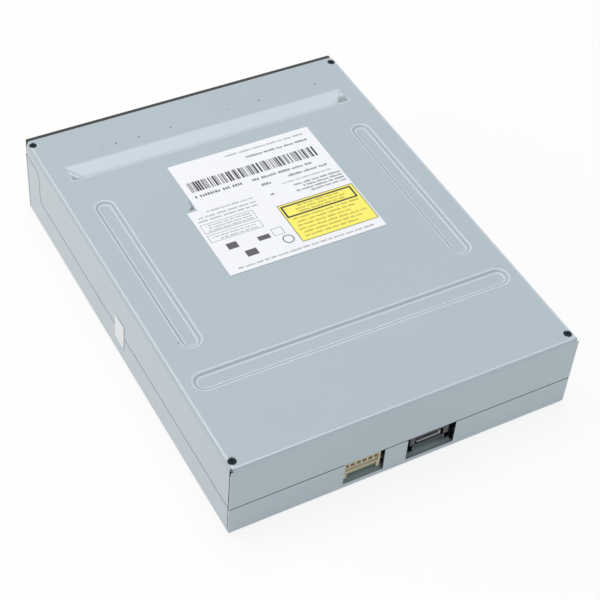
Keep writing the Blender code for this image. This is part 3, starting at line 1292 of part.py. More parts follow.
def main():
    build_top_cover()
    build_bottom_cover()
    build_chassis()
    tray, bezel = build_tray(), build_bezel()
    build_clamp()
    frame, plate = build_lift_frame(), build_mech_plate()
    dampers = build_dampers()
    guides, lead_screw = build_guides()
    pickup, lens = build_pickup()
    base, spun = build_spindle()
    pulley, wheel, drive = build_loading_train()
    build_belt()
    slider = build_cam_slider()
    build_board()
    build_trim()
    lens_y = SPINDLE_Y + PICKUP_Y
    traverse = pivot_empty("traverse_pivot", PIVOT, None, TILT)
    spindle = pivot_empty("spindle_axis", Vector((0.0, SPINDLE_Y, SEAT_Z)), traverse)
    screw_axis = pivot_empty("lead_screw_axis", Vector((LEAD_X, SPINDLE_Y + JOURNAL_Y, LEAD_Z)), traverse)
    carriage = pivot_empty("pickup_path", Vector((0.0, lens_y, ROD_Z)), traverse)
    focus = pivot_empty("lens_axis", Vector((0.0, lens_y, HOLDER_HIGH)), carriage)
    ride(traverse, frame, plate, base, *dampers, *guides)
    ride(spindle, *spun)
    ride(screw_axis, lead_screw)
    ride(carriage, pickup)
    ride(focus, *lens)
    ride(pivot_empty("tray_path", Vector((0.0, FRONT_Y, RUNNER_LOW))), tray, bezel)
    ride(pivot_empty("cam_path", Vector((0.0, CAM_Y, CAM_LOW))), slider)
    ride(pivot_empty("motor_axis", Vector((MOTOR_X, MOTOR_Y, BELT_Z))), pulley)
    ride(pivot_empty("pulley_gear_axis", Vector((PINION_X, GEAR_Y, GEAR_LOW))), wheel)
    ride(pivot_empty("drive_gear_axis", Vector((DRIVE_X, GEAR_Y, GEAR_LOW))), drive)
    ride(pivot_empty("clamper_axis", Vector((0.0, SPINDLE_Y, CLAMPER_Z))),
         *(bpy.data.objects[name] for name in ("clamper", "clamper_cap", "clamp_yoke")))


main()
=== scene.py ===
"""Looks of the console DVD drive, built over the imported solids. Sizes are in metres and angles in degrees."""
import math
import random

import bmesh
import bpy
from mathutils import Matrix, Vector


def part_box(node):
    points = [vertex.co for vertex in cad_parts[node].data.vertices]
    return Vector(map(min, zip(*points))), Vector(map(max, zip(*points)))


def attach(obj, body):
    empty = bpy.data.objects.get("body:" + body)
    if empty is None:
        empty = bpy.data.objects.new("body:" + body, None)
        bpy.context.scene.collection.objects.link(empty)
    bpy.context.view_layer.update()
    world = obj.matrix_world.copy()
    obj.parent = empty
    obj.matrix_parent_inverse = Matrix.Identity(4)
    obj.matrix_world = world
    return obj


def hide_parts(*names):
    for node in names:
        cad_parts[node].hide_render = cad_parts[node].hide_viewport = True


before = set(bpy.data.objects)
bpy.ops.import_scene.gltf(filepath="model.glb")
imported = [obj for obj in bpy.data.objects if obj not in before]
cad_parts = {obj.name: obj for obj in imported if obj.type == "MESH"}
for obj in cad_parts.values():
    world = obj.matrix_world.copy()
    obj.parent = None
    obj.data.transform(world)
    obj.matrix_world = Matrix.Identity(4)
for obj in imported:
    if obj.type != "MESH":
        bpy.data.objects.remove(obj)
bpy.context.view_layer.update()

# Datums read from the frame
COVER_LOW, COVER_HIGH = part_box("top_cover")
LABEL_LOW, LABEL_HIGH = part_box("label")
SEAL_LOW, SEAL_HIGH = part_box("seal")
POWER_LOW, POWER_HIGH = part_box("power_socket")
DATA_LOW, DATA_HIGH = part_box("data_socket")
BOARD_LOW, BOARD_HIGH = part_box("main_board")
FRONT_Y = COVER_LOW.y
TOP_Z = COVER_HIGH.z
SEAM_Z = COVER_LOW.z

# Each side of the top cover: where it is in X, and the way inwards
COVER_SIDES = {"left": (COVER_LOW.x, 1), "right": (COVER_HIGH.x, -1)}

# Thickness of the covers' steel
SHEET = 0.0008

# Camera, at the photograph's viewing angle
CAMERA_PLACE = (0.23069, 0.38162, 0.45384)
CAMERA_TURN = (44.3829, -3.6198, 151.6154)
CAMERA_LENS = 92.890
SENSOR_W = 36.0

# Colours as linear values
STEEL = (0.440, 0.522, 0.575)
INNER_STEEL = (0.50, 0.53, 0.55)
# Painted shade for the covers' edges and inner walls
PAINTED_INNER_SHADE = (0.040, 0.045, 0.052)
BLACK = (0.020, 0.020, 0.022)
BEZEL = (0.030, 0.028, 0.030)
NATURAL = (0.70, 0.68, 0.62)
BRIGHT = (0.62, 0.62, 0.63)
CAST_ALLOY = (0.42, 0.42, 0.43)
BLACKENED = (0.030, 0.040, 0.052)
RUBBER = (0.018, 0.018, 0.018)
RUBBER_WORN = (0.032, 0.032, 0.033)
CREAM = (0.70, 0.64, 0.49)
BRASS = (0.55, 0.34, 0.12)
BLACK_NYLON = (0.022, 0.024, 0.032)
# Painted shade for the backs of the power socket's wells
WELL_SHADE_BROWN = (0.060, 0.035, 0.022)
TONGUE_GREY = (0.30, 0.32, 0.36)
EAR_GREY = (0.17, 0.16, 0.16)
BOARD_GREEN = (0.030, 0.16, 0.075)
BOARD_EDGE = (0.42, 0.48, 0.28)
LABEL_WHITE = (0.86, 0.89, 0.95)
LABEL_YELLOW = (0.95, 0.87, 0.16)
INK = (0.025, 0.025, 0.030)
DARK_INK = (0.10, 0.10, 0.11)
SOFT_INK = (0.28, 0.29, 0.31)
OLIVE_INK = (0.36, 0.32, 0.07)
SPECK_GREY = (0.16, 0.19, 0.21)
SEAL_PALE = (0.68, 0.74, 0.79)
LENS_BLUE = (0.10, 0.16, 0.42)

# Painted light: how much lighter the strips under the sockets are coloured than the covers, for the light that
# falls on them
PAN_PAINTED_LIGHT = 1.5

# Painted light on the coating: its tone by how level the surface is, from upright (0) to level (1), before the
# gain, with a painted highlight on gentle slopes and painted shade on steep walls
PAINTED_SLOPE_GAIN = (1.45, 1.45, 1.45)
PAINTED_SLOPE_TONES = (
    (0.0, (0.69, 0.69, 0.69)), (0.55, (0.69, 0.69, 0.69)), (0.80, (0.58, 0.58, 0.58)),
    (0.88, (0.64, 0.64, 0.64)), (0.94, (0.84, 0.79, 0.79)), (0.988, (0.97, 0.92, 0.92)),
    (0.999, (0.69, 0.69, 0.69)))

# Where the covers' outer skin ends: the sheared edges and inner walls behind it get painted shade, a near-black
# colour for the shade in the seams and openings
SKIN_T = 0.00005
BEND_CLEAR = 0.0021
NOTCH_RIM_Z = 0.0034

# The range that the values of a noise texture mostly keep to
NOISE_LOW, NOISE_HIGH = 0.15, 0.85

# Grain of moulded plastic, as its scale and depth
SPARK_GRAIN = (1400.0, 0.00005)
SATIN_GRAIN = (900.0, 0.00003)


def new_material(name):
    """A material with its node tree and shader."""
    material = bpy.data.materials.new(name)
    material.use_nodes = True
    tree = material.node_tree
    return material, tree, tree.nodes["Principled BSDF"]


def feed(tree, entry, value):
    """Link a node's output to an input, or set the input to a plain value."""
    if isinstance(value, bpy.types.NodeSocket):
        tree.links.new(value, entry)
    else:
        entry.default_value = value


def calculate(tree, operation, first, second=None):
    """The result of a math node on one or two values."""
    node = tree.nodes.new("ShaderNodeMath")
    node.operation = operation
    feed(tree, node.inputs[0], first)
    if second is not None:
        feed(tree, node.inputs[1], second)
    return node.outputs["Value"]


def mixed(tree, first, second, factor=1.0, blend="MIX"):
    """Two colours mixed, each a plain colour or the output of a node."""
    node = tree.nodes.new("ShaderNodeMix")
    node.data_type = "RGBA"
    node.blend_type = blend
    feed(tree, node.inputs["Factor"], factor)
    feed(tree, node.inputs["A"], first)
    feed(tree, node.inputs["B"], second)
    return node.outputs["Result"]


def axes(tree, kind):
    """The X, Y and Z of a surface's own place, "Object", or of its facing, "Normal"."""
    place = tree.nodes.new("ShaderNodeTexCoord")
    split = tree.nodes.new("ShaderNodeSeparateXYZ")
    tree.links.new(place.outputs[kind], split.inputs["Vector"])
    return split.outputs


def noise(tree, scale, detail, stretch=(1.0, 1.0, 1.0)):
    """A noise texture in the object's own metres, stretched along its axes."""
    place = tree.nodes.new("ShaderNodeTexCoord")
    mapping = tree.nodes.new("ShaderNodeMapping")
    mapping.inputs["Scale"].default_value = stretch
    texture = tree.nodes.new("ShaderNodeTexNoise")
    texture.inputs["Scale"].default_value = scale
    texture.inputs["Detail"].default_value = detail
    tree.links.new(place.outputs["Object"], mapping.inputs["Vector"])
    tree.links.new(mapping.outputs["Vector"], texture.inputs["Vector"])
    return texture.outputs["Fac"]


def spread(tree, value, low, high):
    """A noise value turned into the range from low to high."""
    node = tree.nodes.new("ShaderNodeMapRange")
    node.inputs["From Min"].default_value = NOISE_LOW
    node.inputs["From Max"].default_value = NOISE_HIGH
    node.inputs["To Min"].default_value = low
    node.inputs["To Max"].default_value = high
    tree.links.new(value, node.inputs["Value"])
    return node.outputs["Result"]


def tint(tree, value, first, second):
    """A colour between two, by a 0 to 1 value."""
    return mixed(tree, (*first, 1.0), (*second, 1.0), value)


def shade(colour, factor):
    """A colour made darker or lighter."""
    return tuple(channel * factor for channel in colour)


def bump(tree, shader, value, strength, distance):
    """Roughen a surface's facing by a value, as if it rose and fell by a distance."""
    node = tree.nodes.new("ShaderNodeBump")
    node.inputs["Strength"].default_value = strength
    node.inputs["Distance"].default_value = distance
    tree.links.new(value, node.inputs["Height"])
    tree.links.new(node.outputs["Normal"], shader.inputs["Normal"])


def painted_slope_light(tree, colour):
    """A colour with painted light by the surface's facing: a painted highlight on a gentle slope and painted
    shade on a steep wall.
    """
    ramp = tree.nodes.new("ShaderNodeValToRGB")
    for position, _ in PAINTED_SLOPE_TONES[1:-1]:
        ramp.color_ramp.elements.new(position)
    for element, (position, tone) in zip(ramp.color_ramp.elements, PAINTED_SLOPE_TONES):
        element.position = position
        element.color = (*tone, 1.0)
    tree.links.new(axes(tree, "Normal")["Z"], ramp.inputs["Fac"])
    toned = mixed(tree, colour, ramp.outputs["Color"], blend="MULTIPLY")
    return mixed(tree, toned, (*PAINTED_SLOPE_GAIN, 1.0), blend="MULTIPLY")


def painted_inner_shade_mask(tree):
    """1 on the covers' sheared edges and inner walls, which are painted dark as shade, and 0 on their outer
    skin.
    """
    place = axes(tree, "Object")
    across = calculate(tree, "ABSOLUTE", place["X"])
    tests = [calculate(tree, "LESS_THAN", across, COVER_HIGH.x - SKIN_T),
             calculate(tree, "LESS_THAN", place["Y"], COVER_HIGH.y - SKIN_T),
             calculate(tree, "GREATER_THAN", place["Y"], COVER_LOW.y + SKIN_T),
             calculate(tree, "GREATER_THAN", place["Z"], NOTCH_RIM_Z),
             calculate(tree, "LESS_THAN", place["Z"], TOP_Z - BEND_CLEAR)]
    inside = tests[0]
    for test in tests[1:]:
        inside = calculate(tree, "MULTIPLY", inside, test)
    return inside


def sheet_steel(name, colour, roughness, metallic):
    """Coated sheet steel: a faint cloudy sheen, a fine rolled grain and soft smudges, with painted light and
    shade by the surface's facing.
    """
    material, tree, shader = new_material(name)
    cloud = noise(tree, scale=28.0, detail=3.0)
    grain = noise(tree, scale=2600.0, detail=2.0, stretch=(1.0, 0.22, 1.0))
    smudge = noise(tree, scale=35.0, detail=1.0)
    coat = tint(tree, cloud, shade(colour, 0.98), shade(colour, 1.02))
    # Painted light: the coat is lightened on gentle slopes and darkened on steep walls, by its facing
    feed(tree, shader.inputs["Base Color"], painted_slope_light(tree, coat))
    feed(tree, shader.inputs["Roughness"], spread(tree, smudge, roughness - 0.015, roughness + 0.015))
    shader.inputs["Metallic"].default_value = metallic
    bump(tree, shader, grain, strength=0.12, distance=0.00003)
    return material


def coated_steel_with_painted_shade(name, colour, roughness, metallic):
    """Sheet steel with its coating outside and painted shade, a dark colour, on its edges and inner walls."""
    material = sheet_steel(name, colour, roughness, metallic)
    tree = material.node_tree
    base = tree.nodes["Principled BSDF"].inputs["Base Color"]
    coat = base.links[0].from_socket
    # Painted shade: the edges and inner walls are coloured near black for the shade in the seams and openings
    feed(tree, base, mixed(tree, coat, (*PAINTED_INNER_SHADE, 1.0), painted_inner_shade_mask(tree)))
    return material


def plain_metal(name, colour, roughness, along=(1.0, 1.0, 1.0)):
    """Turned, drawn or cast metal with a fine directional finish."""
    material, tree, shader = new_material(name)
    finish = noise(tree, scale=3000.0, detail=2.0, stretch=along)
    stain = noise(tree, scale=150.0, detail=2.0)
    feed(tree, shader.inputs["Base Color"], tint(tree, stain, shade(colour, 0.93), shade(colour, 1.05)))
    feed(tree, shader.inputs["Roughness"], spread(tree, finish, roughness - 0.05, roughness + 0.08))
    shader.inputs["Metallic"].default_value = 1.0
    bump(tree, shader, finish, strength=0.15, distance=0.00002)
    return material


def moulded(name, colour, roughness, grain=SPARK_GRAIN):
    """Moulded plastic with the fine grain of its mould."""
    material, tree, shader = new_material(name)
    scale, depth = grain
    texture = noise(tree, scale, detail=3.0)
    cloud = noise(tree, scale=40.0, detail=2.0)
    feed(tree, shader.inputs["Base Color"], tint(tree, cloud, shade(colour, 0.92), shade(colour, 1.08)))
    feed(tree, shader.inputs["Roughness"], spread(tree, texture, roughness - 0.05, roughness + 0.05))
    bump(tree, shader, texture, strength=0.30, distance=depth)
    return material


def rubber(name):
    """Dull black rubber, a little paler where it is worn."""
    material, tree, shader = new_material(name)
    texture = noise(tree, scale=1800.0, detail=3.0)
    feed(tree, shader.inputs["Base Color"], tint(tree, texture, RUBBER, RUBBER_WORN))
    shader.inputs["Roughness"].default_value = 0.85
    bump(tree, shader, texture, strength=0.35, distance=0.00006)
    return material


def solder_mask(name):
    """Green lacquered board with the faint relief of its copper tracks and bare pale edges."""
    material, tree, shader = new_material(name)
    place = tree.nodes.new("ShaderNodeTexCoord")
    tracks = tree.nodes.new("ShaderNodeTexBrick")
    tree.links.new(place.outputs["Object"], tracks.inputs["Vector"])
    tracks.inputs["Scale"].default_value = 180.0
    for entry, tone in (("Color1", 1.0), ("Color2", 1.5), ("Mortar", 0.7)):
        tracks.inputs[entry].default_value = (*shade(BOARD_GREEN, tone), 1.0)
    facing_up = calculate(tree, "ABSOLUTE", axes(tree, "Normal")["Z"])
    green = mixed(tree, (*BOARD_EDGE, 1.0), tracks.outputs["Color"], facing_up)
    feed(tree, shader.inputs["Base Color"], green)
    shader.inputs["Roughness"].default_value = 0.35
    bump(tree, shader, tracks.outputs["Fac"], strength=0.2, distance=0.00003)
    return material


def film(name, colour, roughness):
    """Printed film: nearly smooth, with a slight unevenness from the surface under it."""
    material, tree, shader = new_material(name)
    cloud = noise(tree, scale=90.0, detail=3.0)
    ripple = noise(tree, scale=300.0, detail=2.0)
    feed(tree, shader.inputs["Base Color"], tint(tree, cloud, shade(colour, 0.985), shade(colour, 1.01)))
    shader.inputs["Roughness"].default_value = roughness
    bump(tree, shader, ripple, strength=0.06, distance=0.00005)
    return material


def lens_glass(name):
    """The pickup's objective lens: dark, coated glass."""
    material, tree, shader = new_material(name)
    shader.inputs["Base Color"].default_value = (*LENS_BLUE, 1.0)
    shader.inputs["Roughness"].default_value = 0.04
    shader.inputs["Coat Weight"].default_value = 1.0
    shader.inputs["Coat Roughness"].default_value = 0.02
    bump(tree, shader, noise(tree, scale=500.0, detail=1.0), strength=0.02, distance=0.00001)
    return material


MATERIALS = {
    "cover": coated_steel_with_painted_shade("cover_steel", STEEL, roughness=0.30, metallic=0.45),
    # Painted light: the strips under the sockets get a lighter copy of the cover steel
    "pan": sheet_steel("pan_steel_painted_light", shade(STEEL, PAN_PAINTED_LIGHT), roughness=0.40, metallic=0.2),
    "inner_steel": sheet_steel("inner_steel", INNER_STEEL, roughness=0.38, metallic=0.9),
    "black": moulded("black_plastic", BLACK, roughness=0.50),
    "bezel": moulded("bezel_plastic", BEZEL, roughness=0.42),
    "natural": moulded("natural_plastic", NATURAL, roughness=0.45, grain=SATIN_GRAIN),
    "bright": plain_metal("bright_steel", BRIGHT, roughness=0.25, along=(1.0, 0.15, 1.0)),
    "cast": plain_metal("cast_alloy", CAST_ALLOY, roughness=0.50),
    "screw": plain_metal("black_screw", BLACKENED, roughness=0.38),
    "brass": plain_metal("brass_pins", BRASS, roughness=0.30),
    "rubber": rubber("black_rubber"),
    "board": solder_mask("green_board"),
    "cream": moulded("cream_nylon", CREAM, roughness=0.45, grain=SATIN_GRAIN),
    "socket": moulded("black_nylon", BLACK_NYLON, roughness=0.32, grain=SATIN_GRAIN),
    "well_painted_shade": moulded("well_shade", WELL_SHADE_BROWN, roughness=0.60, grain=SATIN_GRAIN),
    "grey": moulded("grey_tongue", TONGUE_GREY, roughness=0.35, grain=SATIN_GRAIN),
    "tab": moulded("dull_tab", EAR_GREY, roughness=0.45, grain=SATIN_GRAIN),
    "label": film("label_film", LABEL_WHITE, roughness=0.38),
    "yellow": film("label_yellow", LABEL_YELLOW, roughness=0.38),
    "ink": film("label_ink", INK, roughness=0.38),
    "dark_ink": film("label_dark_ink", DARK_INK, roughness=0.40),
    "soft_ink": film("label_soft_ink", SOFT_INK, roughness=0.40),
    "olive_ink": film("label_olive_ink", OLIVE_INK, roughness=0.40),
    "speck": film("coating_speck", SPECK_GREY, roughness=0.60),
    "seal": film("seal_film", SEAL_PALE, roughness=0.30),
    "lens": lens_glass("coated_glass"),
}

FINISHES = {
    "cover": ["top_cover", "bottom_cover"],
    "inner_steel": ["clamp_bridge", "mech_plate"],
    "black": ["main_chassis", "disc_tray", "lift_frame", "turntable", "lens_holder", "control_chip",
              "driver_chip"],
    "bezel": ["tray_bezel"],
    "natural": ["clamper", "clamper_cap", "motor_pulley", "pulley_gear", "drive_gear", "cam_slider"],
    "bright": ["guide_rod_left", "guide_rod_right", "lead_screw", "sled_motor", "loading_motor",
               "spindle_rotor", "clamp_yoke", "spindle_base", "damper_screw_1", "damper_screw_2",
               "damper_screw_3", "damper_screw_4"],
    "cast": ["pickup_body"],
    "screw": ["cover_screw_1", "cover_screw_2", "cover_screw_3", "cover_screw_4"],
    "rubber": ["drive_belt", "turntable_mat", "damper_1", "damper_2", "damper_3", "damper_4"],
    "board": ["main_board"],
    "cream": ["power_socket"],
    "socket": ["data_socket"],
    "lens": ["objective_lens"],
}


def dress_nodes():
    """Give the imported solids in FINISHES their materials."""
    for finish, names in FINISHES.items():
        for name in names:
            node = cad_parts[name]
            node.data.materials.clear()
            node.data.materials.append(MATERIALS[finish])


def new_object(name, bm):
    """An object in the scene, made from a bmesh that is used up."""
    mesh = bpy.data.meshes.new(name)
    bm.to_mesh(mesh)
    bm.free()
    made = bpy.data.objects.new(name, mesh)
    bpy.context.scene.collection.objects.link(made)
    return made


def piece(name, bm, finish, body="root"):
    """A new visible piece that rides on a body."""
    made = new_object(name, bm)
    made.data.materials.append(MATERIALS[finish])
    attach(made, body)
    return made


def carve(target, cutter_mesh, operation="DIFFERENCE"):
    """Cut a closed mesh out of a piece, or keep only what it holds, for good."""
    cutter = new_object("cutter", cutter_mesh)
    cut = target.modifiers.new("cut", "BOOLEAN")
    cut.operation = operation
    cut.object = cutter
    cut.use_self = True
    bpy.context.view_layer.update()
    finished = target.evaluated_get(bpy.context.evaluated_depsgraph_get())
    made = bpy.data.meshes.new_from_object(finished)
    target.modifiers.clear()
    target.data = made
    bpy.data.objects.remove(cutter, do_unlink=True)


def smooth_by_angle(target, angle):
    """Smooth a piece, except at its edges sharper than an angle."""
    target.data.shade_smooth()
    target.data.set_sharp_from_angle(angle=math.radians(angle))


def add_box(bm, low, high):
    """A box between two corners."""
    size = [b - a for a, b in zip(low, high)]
    middle = [(a + b) / 2 for a, b in zip(low, high)]
    bmesh.ops.create_cube(bm, size=1.0, matrix=Matrix.Translation(middle) @ Matrix.Diagonal((*size, 1.0)))


def raise_faces(bm, faces, height):
    """Raise flat faces into a closed slab."""
    raised = bmesh.ops.extrude_face_region(bm, geom=faces)["geom"]
    verts = [item for item in raised if isinstance(item, bmesh.types.BMVert)]
    bmesh.ops.translate(bm, verts=verts, vec=(0.0, 0.0, height))
    bmesh.ops.recalc_face_normals(bm, faces=bm.faces)


def around(count):
    """Each step of a closed loop with the one after it."""
    return [(step, (step + 1) % count) for step in range(count)]


def join_loops(bm, first, last):
    """Faces all around between two loops of points."""
    for step, after in around(len(first)):
        bm.faces.new((first[step], first[after], last[after], last[step]))


def circle(bm, x, y, z, radius, steps):
    """A level loop of points on a circle."""
    turns = [2 * math.pi * step / steps for step in range(steps)]
    return [bm.verts.new((x + radius * math.cos(turn), y + radius * math.sin(turn), z)) for turn in turns]


# Top cover: which edges are the shoulders of its pressings, and how far they are rounded
PRESS_DEPTHS = (0.0, 0.0010, 0.0011)
PRESS_MARGIN = 0.0040
PRESS_MIN_ANGLE = 6.0
LEVEL_TOLERANCE = 0.00001
DEPTH_TOLERANCE = 0.00003
SCREW_MARGIN = 0.002
SHOULDER = 0.00068
SHOULDER_STEPS = 6

# How close two points are to be joined, how flat an edge is to be dissolved, and from where edges stay sharp
WELD = 0.000002
FLAT_ANGLE = 1.0
COVER_SHARP = 60.0
FILL_SHARP = 30.0

# Rear corners: the slit between the side flange and the rear one
SLIT_W = 0.00030
SLIT_SETBACK = 0.00070
SLIT_DEPTH = 0.0014
SLIT_TOP = 0.0352

# The solid's relief hole, which is filled, and the smaller notch that stays open in it
RELIEF_INSET_X = 0.0008
RELIEF_INSET_Y = 0.0010
RELIEF_R = 0.0013
NOTCH_INSET_X = 0.0005
NOTCH_INSET_Y = 0.0008
NOTCH_R = 0.0007
ROD_STEPS = 40

# The bars with the cover's bend that trim a fill to the outer skin
COVER_BEND_R = 0.0016
BEND_STEPS = 10
FILL_LOW = 0.0332
FILL_REACH = 0.004

# How far cutters, and fills before they are trimmed, stand past the cover
OVER_X = 0.0001
OVER_Z = 0.001


def in_pressed_field(point):
    """Whether a point is clear of the cover's bends, in the field that holds the pressings."""
    return (COVER_LOW.x + PRESS_MARGIN < point.x < COVER_HIGH.x - PRESS_MARGIN
            and COVER_LOW.y + PRESS_MARGIN < point.y < COVER_HIGH.y - PRESS_MARGIN)


def near_screw(point):
    """Whether a point is beside a corner screw, where the edges belong to the screw's seat."""
    heads = [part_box(f"cover_screw_{number}") for number in range(1, 5)]
    return any(low.x - SCREW_MARGIN < point.x < high.x + SCREW_MARGIN
               and low.y - SCREW_MARGIN < point.y < high.y + SCREW_MARGIN for low, high in heads)


def is_shoulder(edge):
    """Whether an edge is a level line of a pressing, at its mouth or its floor."""
    first, last = (vert.co for vert in edge.verts)
    level = abs(first.z - last.z) < LEVEL_TOLERANCE
    deep = any(abs(first.z - TOP_Z + depth) < DEPTH_TOLERANCE for depth in PRESS_DEPTHS)
    inside = in_pressed_field(first) and in_pressed_field(last)
    if not (level and deep and inside and len(edge.link_faces) == 2):
        return False
    return edge.calc_face_angle() > math.radians(PRESS_MIN_ANGLE) and not near_screw(first)


def cut_slits(target):
    """Open the slit at each rear corner, where the side flange ends behind the rear one."""
    bm = bmesh.new()
    rear = COVER_HIGH.y - SLIT_SETBACK
    for outer, inward in COVER_SIDES.values():
        near, far = sorted((outer - inward * OVER_X, outer + inward * SLIT_DEPTH))
        add_box(bm, (near, rear - SLIT_W, SEAM_Z - OVER_Z), (far, rear, SLIT_TOP))
    carve(target, bm)


def build_cover():
    """The top cover with rounded shoulders and open slits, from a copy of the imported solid's mesh."""
    bm = bmesh.new()
    bm.from_mesh(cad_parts["top_cover"].data)
    bmesh.ops.remove_doubles(bm, verts=bm.verts, dist=WELD)
    bmesh.ops.dissolve_limit(bm, angle_limit=math.radians(FLAT_ANGLE), verts=bm.verts, edges=bm.edges)
    shoulders = [edge for edge in bm.edges if is_shoulder(edge)]
    bmesh.ops.bevel(bm, geom=shoulders, offset=SHOULDER, segments=SHOULDER_STEPS, profile=0.5,
                    affect="EDGES")
    made = piece("cover_skin", bm, "cover")
    cut_slits(made)
    smooth_by_angle(made, COVER_SHARP)
    normals = made.modifiers.new("normals", "WEIGHTED_NORMAL")
    normals.keep_sharp = True
    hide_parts("top_cover")


def bend_prism(outer, inward, along_x, middle):
    """A bar whose outer edge has the cover's bend, along X for the rear edge or along Y for a side edge."""
    start = TOP_Z - COVER_BEND_R
    profile = [(outer + inward * FILL_REACH, FILL_LOW), (outer, FILL_LOW)]
    for step in range(BEND_STEPS + 1):
        turn = math.pi / 2 * step / BEND_STEPS
        profile.append((outer + inward * COVER_BEND_R * (1 - math.cos(turn)),
                        start + COVER_BEND_R * math.sin(turn)))
    profile.append((outer + inward * FILL_REACH, TOP_Z))
    bm = bmesh.new()
    ends = []
    for place in (middle - FILL_REACH, middle + FILL_REACH):
        ends.append([bm.verts.new((place, across, z) if along_x else (across, place, z))
                     for across, z in profile])
    join_loops(bm, *ends)
    bm.faces.new(ends[0])
    bm.faces.new(reversed(ends[1]))
    bmesh.ops.recalc_face_normals(bm, faces=bm.faces)
    return bm


def rod(x, y, radius, low, high):
    """An upright round bar."""
    bm = bmesh.new()
    bmesh.ops.create_cone(bm, cap_ends=True, segments=ROD_STEPS, radius1=radius, radius2=radius,
                          depth=high - low, matrix=Matrix.Translation((x, y, (low + high) / 2)))
    return bm


def build_corner_fills():
    """Narrow the relief hole of each rear corner to the small notch of the stamped cover."""
    y = COVER_HIGH.y - RELIEF_INSET_Y
    for side, (outer, inward) in COVER_SIDES.items():
        x = outer + inward * RELIEF_INSET_X
        made = piece(f"corner_{side}", rod(x, y, RELIEF_R, FILL_LOW, TOP_Z + OVER_Z), "cover")
        carve(made, bend_prism(COVER_HIGH.y, -1, True, x), "INTERSECT")
        carve(made, bend_prism(outer, inward, False, y), "INTERSECT")
        notch_x, notch_y = outer + inward * NOTCH_INSET_X, COVER_HIGH.y - NOTCH_INSET_Y
        carve(made, rod(notch_x, notch_y, NOTCH_R, FILL_LOW - OVER_Z, TOP_Z + 2 * OVER_Z))
        cut_slits(made)
        smooth_by_angle(made, FILL_SHARP)


# Label: film, then fields of colour, then print. Boxes are (left, front, right, rear) and rows are
# (left, right, front, height), with front and rear counted from the cover's front edge.
FILM_T = 0.00012
FIELD_T = 0.00001
LABEL_STEP_X = 0.0265
LABEL_STEP = 0.0670
DARK_ROWS = (
    (-0.0345, -0.0060, 0.0452, 0.0012), (0.0030, 0.0240, 0.0590, 0.0014), (-0.0290, -0.0010, 0.0592, 0.0013),
    (-0.0345, -0.0150, 0.0626, 0.0013), (-0.0080, -0.0040, 0.0632, 0.0015),
    (-0.0372, -0.0160, 0.0688, 0.0010), (-0.0372, -0.0190, 0.0706, 0.0010),
    (-0.0372, -0.0150, 0.0724, 0.0010), (-0.0372, -0.0210, 0.0742, 0.0010),
    (-0.0060, -0.0040, 0.0700, 0.0012))
FAINT_ROWS = (
    (-0.0345, 0.0030, 0.0414, 0.0010), (-0.0345, -0.0120, 0.0662, 0.0007),
    (0.0030, 0.0240, 0.0688, 0.0008), (0.0030, 0.0290, 0.0712, 0.0009), (0.0030, 0.0295, 0.0732, 0.0009),
    (0.0080, 0.0280, 0.0765, 0.0007), (0.0080, 0.0270, 0.0780, 0.0007), (0.0080, 0.0280, 0.0795, 0.0007),
    (0.0090, 0.0280, 0.0832, 0.0007), (0.0090, 0.0250, 0.0848, 0.0007), (-0.0340, 0.0270, 0.1028, 0.0009))
FRAMES = (
    (0.0065, 0.0755, 0.0296, 0.0808), (0.0065, 0.0820, 0.0296, 0.0862), (0.0005, 0.0888, 0.0052, 0.0930))
FRAME_W = 0.00025
BLOCKS = (
    (0.0068, 0.0905, 0.0120, 0.0930), (0.0205, 0.0890, 0.0250, 0.0925), (0.0150, 0.0955, 0.0200, 0.0990))
RING_PLACE = (0.0010, 0.0965)
RING_R = 0.0024
RING_W = 0.00045
RING_STEPS = 32

# Marks of a printed row: how many make a word, and their widths, starts and gaps in shares of the height
WORD_MARKS = (3, 8)
MARK_WIDTHS = (0.35, 0.62)
MARK_STARTS = (0.0, 0.0, 0.25)
MARK_GAP = 0.30
WORD_GAP = 0.75

# Bars, in widths of one unit
BARS = (-0.0342, 0.0507, 0.0241, 0.0568)
BAR_UNIT = 0.00028
BAR_WIDTHS = (1, 1, 2, 3)
BAR_SEED = 11

# Yellow field: a framed heading of short rows, then plain rows at three indents in turn
YELLOW = (-0.0380, 0.0780, -0.0034, 0.1004)
YELLOW_BORDER_W = 0.0003
YELLOW_FRAME = (-0.0366, 0.0790, -0.0043, 0.0860)
YELLOW_FRAME_W = 0.0008
YELLOW_PRINT_H = 0.0009
HEADING_INSETS = (0.0065, 0.0045, 0.0055)
HEADING_START = 0.0013
HEADING_PITCH = 0.0017
HEADING_SEED = 2
YELLOW_ROWS = 6
YELLOW_ROW_START = 0.0009
YELLOW_ROW_PITCH = 0.0021
YELLOW_MARGIN = 0.0022
YELLOW_INDENT = 0.0030


def patches(name, rectangles, low, high, finish):
    """Flat printed patches, each (left, front, right, rear), on one level."""
    bm = bmesh.new()
    for left, front, right, rear in rectangles:
        add_box(bm, (left, front, low), (right, rear, high))
    made = piece(name, bm, finish)


def label_outline():
    """The label's corners, with the step in its right edge."""
    step = FRONT_Y + LABEL_STEP
    return [(LABEL_LOW.x, LABEL_LOW.y), (LABEL_STEP_X, LABEL_LOW.y), (LABEL_STEP_X, step),
            (LABEL_HIGH.x, step), (LABEL_HIGH.x, LABEL_HIGH.y), (LABEL_LOW.x, LABEL_HIGH.y)]


def print_row(left, right, front, height, seed):
    """A row of small plain blocks in uneven groups, standing for a line of print."""
    made = []
    draw = random.Random(seed)
    x = left
    while x < right:
        for _ in range(draw.randint(*WORD_MARKS)):
            wide = height * draw.uniform(*MARK_WIDTHS)
            low = front + height * draw.choice(MARK_STARTS)
            if x + wide < right:
                made.append((x, low, x + wide, front + height))
            x += wide + height * MARK_GAP
        x += height * WORD_GAP
    return made


